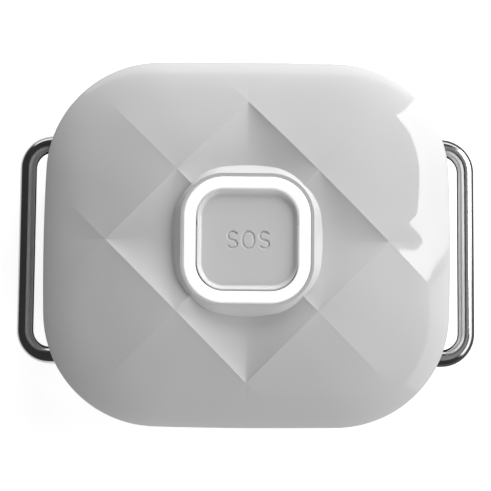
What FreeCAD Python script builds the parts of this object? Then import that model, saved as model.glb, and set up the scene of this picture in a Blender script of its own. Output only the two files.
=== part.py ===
import FreeCAD, Part
import math
import os

Vector = FreeCAD.Vector

# Wearable location tracker with a call button. Millimetres. The origin is the centre of the
# flat back, +X runs to the right and +Y to the top of the face, and +Z comes out of the face.

# Plan outline of the housing at its widest: four long flat arcs and four round corners
half_width = 22.25
half_height = 20.15
side_arc_radius = 234.0
end_arc_radius = 472.0
corner_radius = 12.5

# Heights in the housing
parting_height = 10.55
rim_band = 0.5
parting_gap = 0.12
floor_thickness = 1.4

# Crown of the front cover: a lens-like dome whose ridges lie on it
crown_over_lip = 0.12
crown_power = 2.6
rim_power = 1.3

# Facets pressed into the crown, on a lattice turned by 45 degrees
facet_pitch = 7.67
valley_depth = 0.92
valley_near_ring = 1.1
outer_crease_slope = 0.085
crease_full_until = 0.70
crease_gone_at = 0.93
facet_points = 5
dish_points = 6
rim_points = 7

# Collar, lip and seat of the light ring
lip_height = 14.6
lip_half = 7.2
lip_corner = 4.72
lip_wall = 0.32
cove_width = 1.25
cove_height = 1.08
cove_sections = 8
collar_root_depth = 0.35
pit_margin = 1.46
pit_depth = 0.55
ring_width = 1.24
ring_thickness = 1.3
ring_clearance = 0.06
ring_edge = 0.1
ledge_width = 0.48
guide_length = 3.05
leg_width = 4.0
leg_reach = 0.44
leg_gap = 0.25
leg_clearance = 0.15

# Walls of the two covers
front_wall = 1.6
front_ceiling_depth = 2.55
ceiling_inset = 6.2
rear_wall = 1.5
rear_taper = 1.15
back_rounding = 3.0
floor_chamfer = 1.2

# Tongue of the front cover in the rebate of the rear cover, and the seal below it
tongue_outer = 0.95
tongue_thickness = 0.7
tongue_depth = 1.0
tongue_clearance = 0.08
seal_height = 0.6

# Call button
button_gap = 0.16
button_sink = 0.12
button_dish_depth = 0.34
button_dish_width = 0.58
button_dish_edge = 0.06
button_skirt = 0.55
button_travel = 0.4
button_flange_reach = 0.72
button_flange_round = 0.82
button_flange_thickness = 0.45
button_flange_gap = 0.12
button_lug_clearance = 0.3
button_top_wall = 1.28
button_wall = 1.1
stem_radius = 1.6
seal_groove_height = 0.7
seal_groove_depth = 0.4
seal_groove_rise = 0.55
button_seal_gap = 0.07

# Main board and the parts on it
board_thickness = 0.8
board_inset = 2.35
switch_size = 5.0
switch_height = 1.6
switch_corner = 0.4
plunger_radius = 1.25
plunger_clearance = 0.1
plunger_length = 1.0
plunger_stand = 0.7
led_length = 2.0
led_width = 1.0
led_height = 0.7
shield_size = (14.4, 7.0, 1.7)
shield_from_end = 9.15
shield_corner = 0.6
shield_chamfer = 0.2
processor_size = (6.0, 6.0, 0.9)
processor_corner = 0.2
processor_x = -8.2
processor_from_end = 11.75
power_chip_size = (3.2, 3.2, 0.8)
motion_sensor_size = (2.6, 3.0, 0.9)
chip_corner = 0.15
chip_gap = 1.0
chip_row_gap = 0.7
chips_from_end = 8.15
patch_margin = 1.1
patch_height = 2.4
patch_gap = 0.3
patch_rounding = 0.8
patch_electrode_inset = 0.8
patch_electrode_thickness = 0.12
sim_holder_size = (10.4, 13.2, 1.45)
sim_holder_corner = 0.4
sim_card_size = (8.8, 12.3, 0.67)
sim_card_corner = 1.2
sim_slot_gap = 0.1
sim_base = 0.3
motor_radius = 3.5
motor_height = 2.1
motor_lid_height = 0.3
motor_lid_step = 0.35
motor_from_end = 7.95
strip_inset = 2.55
strip_thickness = 0.3
strip_half_span = 9.0
strip_top_gap = 0.05
strip_gap = 0.05
spring_half_gap = 3.0
spring_size = (1.6, 0.9, 1.3)
spring_metal = 0.2

# Battery, its pad, its tab and the frame over it
battery_thickness = 4.4
battery_end_gap = 1.2
battery_boss_gap = 0.75
battery_corner = 1.6
battery_chamfer = 0.5
pad_thickness = 0.3
pad_margin = 2.0
frame_gap = 0.06
frame_thickness = 0.9
frame_side_gap = 0.2
frame_board_gap = 0.14
frame_inset = 2.9
frame_window = (20.0, 12.0)
frame_window_corner = 2.0
frame_post_half = 0.8
frame_post_offset = (1.0, 2.5)
frame_boss_gap = 0.3
flex_width = 4.0
flex_thickness = 0.25
flex_place = 6.6
flex_reach = 1.3
flex_gap = 0.02
flex_clearance = 0.4

# Housing screws, and the bosses that they clamp the board between
screw_from_side = 9.85
screw_from_end = 6.75
screw_radius = 0.8
screw_head_radius = 1.4
screw_head_height = 0.9
screw_recess = 0.3
screw_clearance = 0.12
screw_thread_gap = 0.02
screw_tip_depth = 0.85
screw_drive_radius = 0.62
screw_drive_depth = 0.5
boss_radius = 2.15
boss_pilot_spare = 0.3
boss_gap = 0.02

# Charging contacts in the back, and the spring pins that carry them to the board
contact_pitch = 4.0
contact_count = 2
contact_from_end = 6.25
contact_radius = 0.95
contact_recess = 0.05
contact_gap = 0.02
contact_flange_radius = 1.2
contact_flange_height = 0.4
pin_barrel_radius = 0.75
pin_tip_radius = 0.45
pin_tip_length = 1.6
pin_slot_margin = 0.7

# Strap loops of round wire, the recesses that they swing in and the bores of their pins
wire_radius = 0.95
strap_width = 22.0
strap_side_clearance = 0.1
loop_reach = 2.7
loop_height = 3.5
loop_bend = 2.85
loop_pivot_inset = 4.65
pin_depth = 2.1
pin_clearance = 0.05
pin_end_gap = 0.3
leg_slot_clearance = 0.3
strap_recess_depth = 2.8
strap_recess_chamfer = 0.6
recess_wall = 1.4
recess_roof_wall = 1.0
shelf_gap = 0.1
slot_inner_wall = 1.15

# How far fused pieces reach into each other, and how far cutters run past what they cut
root = 0.3
past = 1.0

# Heights that follow from the ones above
rim_height = parting_height + rim_band
crown_height = lip_height + crown_over_lip
ring_seat_height = lip_height - ring_thickness
guide_bottom = lip_height - guide_length
front_ceiling = lip_height - front_ceiling_depth
collar_root = front_ceiling + collar_root_depth
pit_floor = front_ceiling + pit_depth
tongue_bottom = parting_height - tongue_depth
rebate_floor = tongue_bottom - seal_height
battery_bottom = floor_thickness + pad_thickness
battery_top = battery_bottom + battery_thickness
frame_bottom = battery_top + frame_gap
frame_top = frame_bottom + frame_thickness
board_bottom = frame_top + frame_board_gap
board_top = board_bottom + board_thickness
shelf_height = board_bottom - shelf_gap
strap_recess_roof = shelf_height - recess_roof_wall
leg_bottom = board_top + led_height + leg_gap
plunger_top = board_top + switch_height + plunger_stand
button_top = lip_height - button_sink
button_bottom = guide_bottom - button_skirt
button_hollow_height = button_top - button_top_wall
seal_groove_bottom = guide_bottom + seal_groove_rise
strip_top = parting_height - strip_top_gap
screw_tip = front_ceiling - screw_tip_depth

# Plan sizes that follow from the ones above
seat_half = lip_half - lip_wall
seat_corner = lip_corner - lip_wall
ring_half = seat_half - ring_clearance
ring_corner = seat_corner - ring_clearance
ring_inner_half = ring_half - ring_width
ring_inner_corner = ring_corner - ring_width
ledge_half = ring_inner_half + ledge_width
ledge_corner = ring_inner_corner + ledge_width
leg_half = ledge_half + leg_reach
pit_half = ledge_half - pit_margin
button_half = ring_inner_half - button_gap
button_corner = ring_inner_corner - button_gap
button_flange_half = ring_inner_half + button_flange_reach
button_flange_corner = ring_inner_corner + button_flange_round
loop_bar_x = half_width + loop_reach
loop_pivot_x = half_width - loop_pivot_inset
strap_recess_x = half_width - strap_recess_depth
leg_y = strap_width / 2 + strap_side_clearance + wire_radius
slot_half_outer = leg_y + wire_radius + leg_slot_clearance
rib_half = leg_y - wire_radius - leg_slot_clearance
slot_end_x = loop_pivot_x - wire_radius - leg_slot_clearance
lower_cavity_x = slot_end_x - slot_inner_wall
rib_cavity_x = strap_recess_x - recess_wall
rib_cavity_half = rib_half - pin_depth - pin_end_gap - recess_wall
screw_x = half_width - screw_from_side
screw_y = half_height - screw_from_end
screw_places = ((screw_x, screw_y), (-screw_x, screw_y), (screw_x, -screw_y), (-screw_x, -screw_y))
contact_y = contact_from_end - half_height
battery_size = (2 * (lower_cavity_x - battery_end_gap),
                2 * (screw_y - boss_radius - battery_boss_gap), battery_thickness)
frame_half_width = lower_cavity_x - frame_side_gap
frame_post_x = frame_window[0] / 2 + frame_post_offset[0]
frame_post_y = frame_window[1] / 2 + frame_post_offset[1]
board_end_x = half_width - board_inset
shield_place = (0.0, half_height - shield_from_end)
processor_place = (processor_x, processor_from_end - half_height)
chip_x = motor_radius + chip_gap + power_chip_size[0] / 2
power_chip_place = (chip_x, chips_from_end - half_height)
sensor_row = (power_chip_size[1] + motion_sensor_size[1]) / 2 + chip_row_gap
motion_sensor_place = (chip_x, power_chip_place[1] + sensor_row)
patch_side = board_end_x - button_flange_half - 2 * patch_margin
patch_x = -(board_end_x + button_flange_half) / 2
patch_place = (patch_x, processor_place[1] + (processor_size[1] + patch_side) / 2 + patch_gap)
sim_place = ((board_end_x + leg_half) / 2, 0.0)
motor_place = (0.0, motor_from_end - half_height)


def make_corner_centre():
    """Centre of a corner arc, tangent inside the side arc and the end arc."""
    side = Vector(half_width - side_arc_radius, 0, 0)
    end = Vector(0, half_height - end_arc_radius, 0)
    side_reach = side_arc_radius - corner_radius
    end_reach = end_arc_radius - corner_radius
    base = end.sub(side)
    span = base.Length
    along = (side_reach ** 2 - end_reach ** 2 + span ** 2) / (2 * span)
    across = math.sqrt(side_reach ** 2 - along ** 2)
    unit = Vector(base.x / span, base.y / span, 0)
    return side + unit * along + Vector(-unit.y, unit.x, 0) * across


side_centre = Vector(half_width - side_arc_radius, 0, 0)
end_centre = Vector(0, half_height - end_arc_radius, 0)
corner_centre = make_corner_centre()


def unit_from(start, end):
    """Unit vector from start towards end."""
    step = end.sub(start)
    return step * (1 / step.Length)


def outline(inset, height):
    """Housing outline, moved inwards by inset, as a closed wire at a height."""
    side_r = side_arc_radius - inset
    end_r = end_arc_radius - inset
    corner_r = corner_radius - inset
    side_unit = unit_from(side_centre, corner_centre)
    end_unit = unit_from(end_centre, corner_centre)
    middle = unit_from(Vector(), side_unit + end_unit)
    side_point = side_centre + side_unit * side_r
    end_point = end_centre + end_unit * end_r
    corner_point = corner_centre + middle * corner_r
    right = Vector(half_width - inset, 0, 0)
    top = Vector(0, half_height - inset, 0)

    def at(point, sx, sy):
        return Vector(point.x * sx, point.y * sy, height)

    arcs = [
        (at(side_point, 1, -1), at(right, 1, 1), at(side_point, 1, 1)),
        (at(side_point, 1, 1), at(corner_point, 1, 1), at(end_point, 1, 1)),
        (at(end_point, 1, 1), at(top, 1, 1), at(end_point, -1, 1)),
        (at(end_point, -1, 1), at(corner_point, -1, 1), at(side_point, -1, 1)),
        (at(side_point, -1, 1), at(right, -1, 1), at(side_point, -1, -1)),
        (at(side_point, -1, -1), at(corner_point, -1, -1), at(end_point, -1, -1)),
        (at(end_point, -1, -1), at(top, 1, -1), at(end_point, 1, -1)),
        (at(end_point, 1, -1), at(corner_point, 1, -1), at(side_point, 1, -1)),
    ]
    return Part.Wire([Part.Arc(*points).toShape() for points in arcs])


def prism(wire, height):
    """Solid from a flat closed wire, drawn up by height."""
    return Part.Face(wire).extrude(Vector(0, 0, height))


def outline_band(outer_inset, inner_inset, bottom, top):
    """Closed band that follows the outline between two insets and two heights."""
    outer = prism(outline(outer_inset, bottom), top - bottom)
    return outer.cut(prism(outline(inner_inset, bottom - past), top - bottom + 2 * past))


def block(x0, x1, y0, y1, z0, z1):
    """Box between six planes."""
    return Part.makeBox(x1 - x0, y1 - y0, z1 - z0, Vector(x0, y0, z0))


def cylinder(radius, x, y, bottom, top):
    """Upright cylinder."""
    return Part.makeCylinder(radius, top - bottom, Vector(x, y, bottom))


def rounded_square(half, corner, height):
    """Square wire with round corners, centred on the button."""
    flat = half - corner
    diagonal = corner * math.sqrt(0.5)
    edges = []
    for quarter in range(4):
        turn = FreeCAD.Rotation(Vector(0, 0, 1), 90 * quarter)

        def at(x, y):
            return turn.multVec(Vector(x, y, 0)) + Vector(0, 0, height)

        edges.append(Part.makeLine(at(half, -flat), at(half, flat)))
        middle = at(flat + diagonal, flat + diagonal)
        edges.append(Part.Arc(at(half, flat), middle, at(flat, half)).toShape())
    return Part.Wire(edges)


def square_prism(half, corner, bottom, top):
    """Upright prism of a rounded square, centred on the button."""
    return prism(rounded_square(half, corner, bottom), top - bottom)


def plate(size, place, corner, bottom):
    """Flat plate with round upright corners: size is its length, width and thickness."""
    solid = Part.makeBox(size[0], size[1], size[2],
                         Vector(place[0] - size[0] / 2, place[1] - size[1] / 2, bottom))
    upright = [edge for edge in solid.Edges if abs(edge.tangentAt(edge.FirstParameter).z) > 0.9]
    return solid.makeFillet(corner, upright)


def edges_at(solid, height):
    """Edges of a solid that lie flat at a height."""
    found = []
    for edge in solid.Edges:
        box = edge.BoundBox
        if abs(box.ZMin - height) < 1e-4 and abs(box.ZMax - height) < 1e-4:
            found.append(edge)
    return found


def rim_radius(x, y):
    """Distance from the centre to the outline, in the direction of a point."""
    reach = math.hypot(x, y)
    c, s = abs(x) / reach, abs(y) / reach
    side_point = side_centre + unit_from(side_centre, corner_centre) * side_arc_radius
    end_point = end_centre + unit_from(end_centre, corner_centre) * end_arc_radius
    if s * side_point.x <= c * side_point.y:
        centre, radius = side_centre, side_arc_radius
    elif s * end_point.x >= c * end_point.y:
        centre, radius = end_centre, end_arc_radius
    else:
        centre, radius = corner_centre, corner_radius
    along = c * centre.x + s * centre.y
    across = c * centre.y - s * centre.x
    return along + math.sqrt(radius ** 2 - across ** 2)


def crown(x, y):
    """Height of the smooth crown, which all the ridges follow."""
    share = min(math.hypot(x, y) / rim_radius(x, y), 1.0)
    lift = (1 - share ** crown_power) ** (1 / rim_power)
    return rim_height + (crown_height - rim_height) * lift


def crease_share(x, y):
    """Full depth of the creases near the middle, fading to none before the rim."""
    share = math.hypot(x, y) / rim_radius(x, y)
    t = (crease_gone_at - share) / (crease_gone_at - crease_full_until)
    t = min(max(t, 0.0), 1.0)
    return t * t * (3 - 2 * t)


def outer_height(x, y):
    """Crown with the shallow dishes outside the ring of facets.

    The ridges run where the sum or the difference of x and y is zero or twice the pitch.
    """
    across = abs(abs(x) - abs(y)) * math.sqrt(0.5)
    beyond = (abs(x) + abs(y) - 2 * facet_pitch) * math.sqrt(0.5)
    cell = facet_pitch * math.sqrt(2)
    if across < cell:
        walls = (beyond, across, cell - across)
    else:
        walls = (across - cell,)
    if min(walls) < 1e-9:
        return crown(x, y)
    dish = 1 / sum(1 / wall for wall in walls)
    return crown(x, y) - outer_crease_slope * dish * crease_share(x, y)


def curve_poles(points):
    """Poles of the cubic curve through evenly timed points."""
    if max(point.distanceToPoint(points[0]) for point in points) < 1e-9:
        return [points[0]] * (len(points) + 2)
    curve = Part.BSplineCurve()
    curve.interpolate(Points=list(points), Parameters=[float(i) for i in range(len(points))])
    return curve.getPoles()


def surface_through(grid):
    """Cubic face through a grid of points, whose edges depend on their own points alone."""
    rows = [curve_poles(row) for row in grid]
    columns = [curve_poles([row[i] for row in rows]) for i in range(len(rows[0]))]
    poles = [[column[j] for column in columns] for j in range(len(columns[0]))]

    def knots(count):
        return [float(i) for i in range(count)]

    def multiples(count):
        return [4] + [1] * (count - 2) + [4]

    surface = Part.BSplineSurface()
    surface.buildFromPolesMultsKnots(poles, multiples(len(grid)), multiples(len(grid[0])),
                                     knots(len(grid)), knots(len(grid[0])), False, False, 3, 3)
    return surface.toShape()


def rim_crossing(start, step):
    """Point where the line from start along step meets the outline."""
    low, high = 0.0, 2 * half_width
    for _ in range(60):
        middle = (low + high) / 2
        point = start + step * middle
        if math.hypot(point.x, point.y) < rim_radius(point.x, point.y):
            low = middle
        else:
            high = middle
    return start + step * low


def shares(count):
    """Even shares from 0 to 1, one per row of points in a patch."""
    return [i / (count - 1) for i in range(count)]


def blend(a, b, share):
    """Point between two others."""
    return a + (b.sub(a)) * share


def lifted(point, height_of):
    """Point in plan, lifted to a height formula."""
    return Vector(point.x, point.y, height_of(point.x, point.y))


def facet_patch(axis, side):
    """One of the eight inner facets, between the valley on an axis and the ridges beside it."""
    vertex = axis * (2 * facet_pitch)
    crossing = (axis + side) * facet_pitch
    inner_axis = axis * pit_half
    inner_corner = (axis + side) * pit_half
    near_ring = axis * (valley_near_ring * facet_pitch)
    vertex_height = crown(vertex.x, vertex.y)
    ring_height = crown(near_ring.x, near_ring.y) - valley_depth

    def valley(share):
        point = blend(inner_axis, vertex, share)
        rise = (vertex_height - ring_height) / (vertex.Length - near_ring.Length)
        return Vector(point.x, point.y, ring_height + rise * (point.Length - near_ring.Length))

    def diagonal(share):
        return lifted(blend(inner_corner, crossing, share), crown)

    def inner(share):
        return blend(valley(0), diagonal(0), share)

    def ridge(share):
        return lifted(blend(vertex, crossing, share), crown)

    grid = []
    for u in shares(dish_points):
        row = []
        for v in shares(facet_points):
            along = blend(valley(v), diagonal(v), u) + blend(inner(u), ridge(u), v)
            corners = blend(blend(valley(0), diagonal(0), u), blend(valley(1), diagonal(1), u), v)
            row.append(along.sub(corners))
        grid.append(row)
    return surface_through(grid)


def towards_rim(start, end):
    """Points from a ridge to the rim, closing up where the crown rolls over."""
    points = []
    for share in shares(rim_points):
        point = blend(start, end, 1 - (1 - share) ** rim_power)
        height = rim_height if share == 1 else outer_height(point.x, point.y)
        points.append(Vector(point.x, point.y, height))
    return points


def outer_patches(axis, side):
    """The dish outside one facet's ridge, and half of the cell beyond its vertex."""
    vertex = axis * (2 * facet_pitch)
    crossing = (axis + side) * facet_pitch
    diagonal_end = rim_crossing(crossing, (axis + side))
    line_end = rim_crossing(vertex, (axis + side))
    axis_end = rim_crossing(vertex, axis)

    def on_rim(a, b, share):
        start = math.atan2(a.y, a.x)
        turn = math.atan2(b.y, b.x) - start
        turn -= 2 * math.pi * round(turn / (2 * math.pi))
        angle = start + turn * share
        unit = Vector(math.cos(angle), math.sin(angle), 0)
        return unit * rim_radius(unit.x, unit.y)

    dish = [towards_rim(blend(crossing, vertex, u), on_rim(diagonal_end, line_end, u))
            for u in shares(dish_points)]
    wedge = [towards_rim(vertex, on_rim(line_end, axis_end, u)) for u in shares(dish_points)]
    return [surface_through(dish), surface_through(wedge)], [dish, wedge]


def crown_solid():
    """Closed body under the faceted crown, down to the parting line, with a pit in its middle."""
    faces = []
    walls = []
    drop = Vector(0, 0, parting_height - rim_height)
    for axis, side in ((Vector(1, 0, 0), Vector(0, 1, 0)), (Vector(0, 1, 0), Vector(-1, 0, 0)),
                       (Vector(-1, 0, 0), Vector(0, -1, 0)), (Vector(0, -1, 0), Vector(1, 0, 0))):
        for hand in (1, -1):
            faces.append(facet_patch(axis, side * hand))
            outer, grids = outer_patches(axis, side * hand)
            faces.extend(outer)
            for grid in grids:
                rim = Part.BSplineCurve()
                rim.interpolate(Points=[row[-1] for row in grid],
                                Parameters=[float(i) for i in range(dish_points)])
                walls.append(rim.toShape().extrude(drop))
    faces.extend(walls)
    base = [edge for wall in walls for edge in edges_at(wall, parting_height)]
    faces.append(Part.Face(Part.Wire(Part.__sortEdges__(base))))
    faces.extend(pit_faces(faces))
    shell = Part.Shell(faces)
    shell.sewShape()
    solid = Part.Solid(shell)
    if solid.Volume < 0:
        solid.reverse()
    return solid


def pit_faces(faces):
    """Walls and floor of the square pit that the button well takes away later."""
    rim = []
    for face in faces:
        for edge in face.Edges:
            ends = [vertex.Point for vertex in edge.Vertexes]
            if len(ends) == 2 and all(max(abs(p.x), abs(p.y)) < pit_half + 1e-6 for p in ends):
                rim.append(edge)
    found = []
    floor = []
    for edge in rim:
        ends = [vertex.Point for vertex in edge.Vertexes]
        low = Part.makeLine(Vector(ends[0].x, ends[0].y, pit_floor),
                            Vector(ends[1].x, ends[1].y, pit_floor))
        found.append(Part.makeRuledSurface(edge, low))
        floor.append(low)
    found.append(Part.Face(Part.Wire(Part.__sortEdges__(floor))))
    return found


def collar():
    """Raised seat of the light ring, flaring out into the crown with a hollow cove."""
    sections = []
    for i in range(cove_sections):
        angle = math.radians(90 * i / (cove_sections - 1))
        spread = cove_width * (1 - math.cos(angle))
        height = lip_height - cove_height * math.sin(angle)
        sections.append(rounded_square(lip_half + spread, lip_corner + spread, height))
    flare = Part.makeLoft(sections[::-1], True, False)
    foot_half = lip_half + cove_width
    foot = square_prism(foot_half, lip_corner + cove_width, collar_root, lip_height - cove_height)
    return foot.fuse(flare)


def front_cavity():
    """Hollow of the front cover, under the crown."""
    low = outline(front_wall, parting_height - 0.01)
    high = outline(ceiling_inset, front_ceiling)
    return Part.makeLoft([low, high], True, True)


def leg_slots(half, width, bottom, top):
    """Two crossed bars that take away what the four light legs pass through."""
    return block(-half, half, -width / 2, width / 2, bottom, top).fuse(
        block(-width / 2, width / 2, -half, half, bottom, top))


def front_cover():
    """Faceted front cover with its collar, tongue and screw bosses."""
    cover = crown_solid().fuse(collar())
    cover = cover.cut(front_cavity())
    cover = cover.cut(square_prism(seat_half, seat_corner, ring_seat_height, lip_height + past))
    cover = cover.cut(square_prism(ledge_half, ledge_corner, front_ceiling - past, lip_height))
    cover = cover.cut(leg_slots(leg_half + leg_clearance, leg_width + 2 * leg_clearance,
                                front_ceiling - past, lip_height))
    tongue = outline_band(tongue_outer, tongue_outer + tongue_thickness,
                          tongue_bottom, parting_height + root)
    cover = cover.fuse(tongue)
    for x, y in screw_places:
        cover = cover.fuse(cylinder(boss_radius, x, y, board_top + boss_gap, front_ceiling + root))
    for x, y in screw_places:
        cover = cover.cut(cylinder(screw_radius + screw_thread_gap, x, y,
                                   board_top - past, screw_tip + boss_pilot_spare))
    return cover


def rear_section(inset, height):
    """Outline of the tapering rear cover at a height, moved inwards by inset."""
    taper = rear_taper * (parting_height - height) / parting_height
    return outline(inset + taper, height)


def rear_cavity():
    """Hollow of the rear cover, kept clear of the strap recesses and the loop pins."""
    top = parting_height + past
    hollow = Part.makeLoft([rear_section(rear_wall, floor_thickness),
                            rear_section(rear_wall, top)], True, True)
    hollow = hollow.makeChamfer(floor_chamfer, edges_at(hollow, floor_thickness))
    keep = block(-lower_cavity_x, lower_cavity_x, -half_height, half_height, 0, shelf_height)
    keep = keep.fuse(block(-rib_cavity_x, rib_cavity_x, -rib_cavity_half, rib_cavity_half,
                           0, shelf_height))
    keep = keep.fuse(block(-half_width, half_width, -half_height, half_height,
                           shelf_height, top + past))
    return hollow.common(keep)


def strap_recess(hand):
    """Space beside the housing that the strap loop and the strap pass through."""
    reach = 2 * half_width
    space = block(strap_recess_x, reach, -slot_half_outer, slot_half_outer,
                  -past, strap_recess_roof)
    corners = [edge for edge in space.Edges
               if abs(edge.BoundBox.XMax - strap_recess_x) < 1e-6
               and edge.BoundBox.ZMin > 0]
    space = space.makeChamfer(strap_recess_chamfer, corners)
    roof = loop_height + wire_radius + leg_slot_clearance
    for sign in (1, -1):
        y0, y1 = sorted((sign * rib_half, sign * slot_half_outer))
        space = space.fuse(block(slot_end_x, reach, y0, y1, -past, roof))
        mouth = Vector(loop_pivot_x, sign * rib_half, loop_height)
        depth = pin_depth + pin_end_gap
        bore = Part.makeCylinder(wire_radius + pin_clearance, depth + root,
                                 mouth + Vector(0, root * sign, 0), Vector(0, -sign, 0))
        space = space.fuse(bore)
    if hand < 0:
        space = space.mirror(Vector(), Vector(1, 0, 0))
    return space


def rear_cover():
    """Tapering tub with a rounded back edge, screw bosses and the strap recesses."""
    top = parting_height - parting_gap
    tub = Part.makeLoft([rear_section(0, 0), rear_section(0, top)], True, True)
    tub = tub.makeFillet(back_rounding, edges_at(tub, 0))
    tub = tub.cut(rear_cavity())
    tub = tub.cut(prism(outline(tongue_outer - tongue_clearance, rebate_floor),
                        parting_height - rebate_floor + past))
    for x, y in screw_places:
        tub = tub.fuse(cylinder(boss_radius, x, y, floor_thickness - root, board_bottom - boss_gap))
    for hand in (1, -1):
        tub = tub.cut(strap_recess(hand))
    seat = screw_recess + screw_head_height
    for x, y in screw_places:
        tub = tub.cut(cylinder(screw_radius + screw_clearance, x, y, -past, board_bottom + past))
        tub = tub.cut(cylinder(screw_head_radius + screw_clearance, x, y, -past, seat))
    for x in contact_xs():
        tub = tub.cut(cylinder(contact_radius + contact_gap, x, contact_y,
                               -past, floor_thickness + past))
    return tub


def housing_seal():
    """Soft ring that the tongue presses onto the floor of the rebate."""
    return outline_band(tongue_outer, tongue_outer + tongue_thickness, rebate_floor, tongue_bottom)


def light_ring():
    """Diffuser ring in the lip, with a short guide below it and four legs down to the lamps."""
    ring = square_prism(ring_half, ring_corner, ring_seat_height, lip_height)
    ring = ring.fuse(square_prism(ledge_half - ring_clearance, ledge_corner - ring_clearance,
                                  guide_bottom, ring_seat_height + root))
    ring = ring.cut(square_prism(ring_inner_half, ring_inner_corner,
                                 guide_bottom - past, lip_height + past))
    ring = ring.makeChamfer(ring_edge, edges_at(ring, lip_height))
    legs = leg_slots(leg_half, leg_width, leg_bottom, ring_seat_height + root)
    legs = legs.cut(square_prism(ring_inner_half, ring_inner_corner, leg_bottom - past, lip_height))
    return ring.fuse(legs).removeSplitter()


def call_button():
    """Dished square button with a stem, corner lugs under the ring and a groove for its seal."""
    flange_top = guide_bottom - button_flange_gap
    button = square_prism(button_half, button_corner, button_bottom, button_top)
    dish_half = button_half - button_dish_width
    dish_corner = button_corner - button_dish_width
    dish = Part.makeLoft([rounded_square(dish_half, dish_corner, button_top - button_dish_depth),
                          rounded_square(button_half - button_dish_edge,
                                         button_corner - button_dish_edge, button_top)],
                         True, True)
    button = button.cut(dish)
    lugs = square_prism(button_flange_half, button_flange_corner,
                        flange_top - button_flange_thickness, flange_top)
    lugs = lugs.cut(leg_slots(button_flange_half + past, leg_width + 2 * button_lug_clearance,
                              button_bottom - past, lip_height))
    button = button.fuse(lugs)
    inner = button_half - button_wall
    button = button.cut(square_prism(inner, button_corner - button_wall / 2,
                                     button_bottom - past, button_hollow_height))
    button = button.fuse(cylinder(stem_radius, 0, 0, plunger_top, button_hollow_height + root))
    groove_top = seal_groove_bottom + seal_groove_height
    ring = square_prism(button_half + past, button_corner + past, seal_groove_bottom, groove_top)
    ring = ring.cut(square_prism(button_half - seal_groove_depth, button_corner - seal_groove_depth,
                                 seal_groove_bottom, groove_top))
    return button.cut(ring)


def button_seal():
    """Soft sealing ring in the groove round the button."""
    groove_top = seal_groove_bottom + seal_groove_height
    half = ring_inner_half - button_seal_gap
    ring = square_prism(half, ring_inner_corner - button_seal_gap, seal_groove_bottom, groove_top)
    return ring.cut(square_prism(button_half - seal_groove_depth, button_corner - seal_groove_depth,
                                 seal_groove_bottom - past, groove_top + past))


def switch_body():
    """Push switch under the button, with the well of its plunger."""
    size = (switch_size, switch_size, switch_height)
    body = plate(size, (0, 0), switch_corner, board_top)
    well = plunger_top - plunger_length - button_travel - plunger_clearance
    return body.cut(cylinder(plunger_radius + plunger_clearance, 0, 0, well, plunger_top))


def switch_plunger():
    """Plunger of the push switch, which moves with the button's stem."""
    return cylinder(plunger_radius, 0, 0, plunger_top - plunger_length, plunger_top)


def main_board():
    """Circuit board, clamped between the screw bosses."""
    board = prism(outline(board_inset, board_bottom), board_thickness)
    for x, y in screw_places:
        board = board.cut(cylinder(screw_radius + screw_clearance, x, y,
                                   board_bottom - past, board_top + past))
    return board


def ring_leds():
    """Four lamps on the board, one under each leg of the light ring."""
    reach = (leg_half + ring_inner_half) / 2
    lamps = []
    for quarter in range(4):
        lamp = Part.makeBox(led_width, led_length, led_height,
                            Vector(reach - led_width / 2, -led_length / 2, board_top))
        lamp.rotate(Vector(), Vector(0, 0, 1), 90 * quarter)
        lamps.append(lamp)
    return Part.makeCompound(lamps)


def radio_shield():
    """Drawn metal can over the radio."""
    can = plate(shield_size, shield_place, shield_corner, board_top)
    return can.makeChamfer(shield_chamfer, edges_at(can, board_top + shield_size[2]))


def gnss_antenna():
    """Ceramic patch antenna with its metal face on top."""
    height = patch_height - patch_electrode_thickness
    tile = plate((patch_side, patch_side, height), patch_place, patch_rounding, board_top)
    electrode = patch_side - 2 * patch_electrode_inset
    face = plate((electrode, electrode, patch_electrode_thickness),
                 patch_place, patch_rounding, board_top + height)
    return tile.fuse(face)


def cellular_antenna():
    """Thin antenna strip that stands on the board and follows the top wall."""
    bottom = board_top + strip_gap
    strip = outline_band(strip_inset, strip_inset + strip_thickness, bottom, strip_top)
    return strip.common(block(-strip_half_span, strip_half_span, 0, half_height, 0, strip_top + past))


def antenna_springs():
    """Two bent contact springs between the board and the antenna strip."""
    length, width, height = spring_size
    inner = half_height - strip_inset - strip_thickness - strip_gap
    springs = []
    for sign in (1, -1):
        x = sign * spring_half_gap - length / 2
        foot = block(x, x + length, inner - width, inner, board_top, board_top + spring_metal)
        post = block(x, x + length, inner - spring_metal, inner, board_top, board_top + height)
        springs.append(foot.fuse(post).removeSplitter())
    return Part.makeCompound(springs)


def sim_bottom():
    """Height of the card's underside in its holder."""
    return board_top + sim_base + sim_slot_gap


def sim_holder():
    """Metal-topped card holder with a slot through its upper side."""
    holder = plate(sim_holder_size, sim_place, sim_holder_corner, board_top)
    width = sim_card_size[0] + 2 * sim_slot_gap
    x0 = sim_place[0] - width / 2
    y0 = sim_place[1] - sim_card_size[1] / 2 - sim_slot_gap
    top = sim_bottom() + sim_card_size[2] + sim_slot_gap
    slot = block(x0, x0 + width, y0, sim_place[1] + sim_holder_size[1],
                 sim_bottom() - sim_slot_gap, top)
    return holder.cut(slot)


def sim_card():
    """Small card with one cut corner."""
    length, width, thickness = sim_card_size
    x0, x1 = sim_place[0] - length / 2, sim_place[0] + length / 2
    y0, y1 = sim_place[1] - width / 2, sim_place[1] + width / 2
    z = sim_bottom()
    points = [Vector(x0, y0, z), Vector(x1, y0, z), Vector(x1, y1 - sim_card_corner, z),
              Vector(x1 - sim_card_corner, y1, z), Vector(x0, y1, z), Vector(x0, y0, z)]
    return prism(Part.makePolygon(points), thickness)


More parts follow.
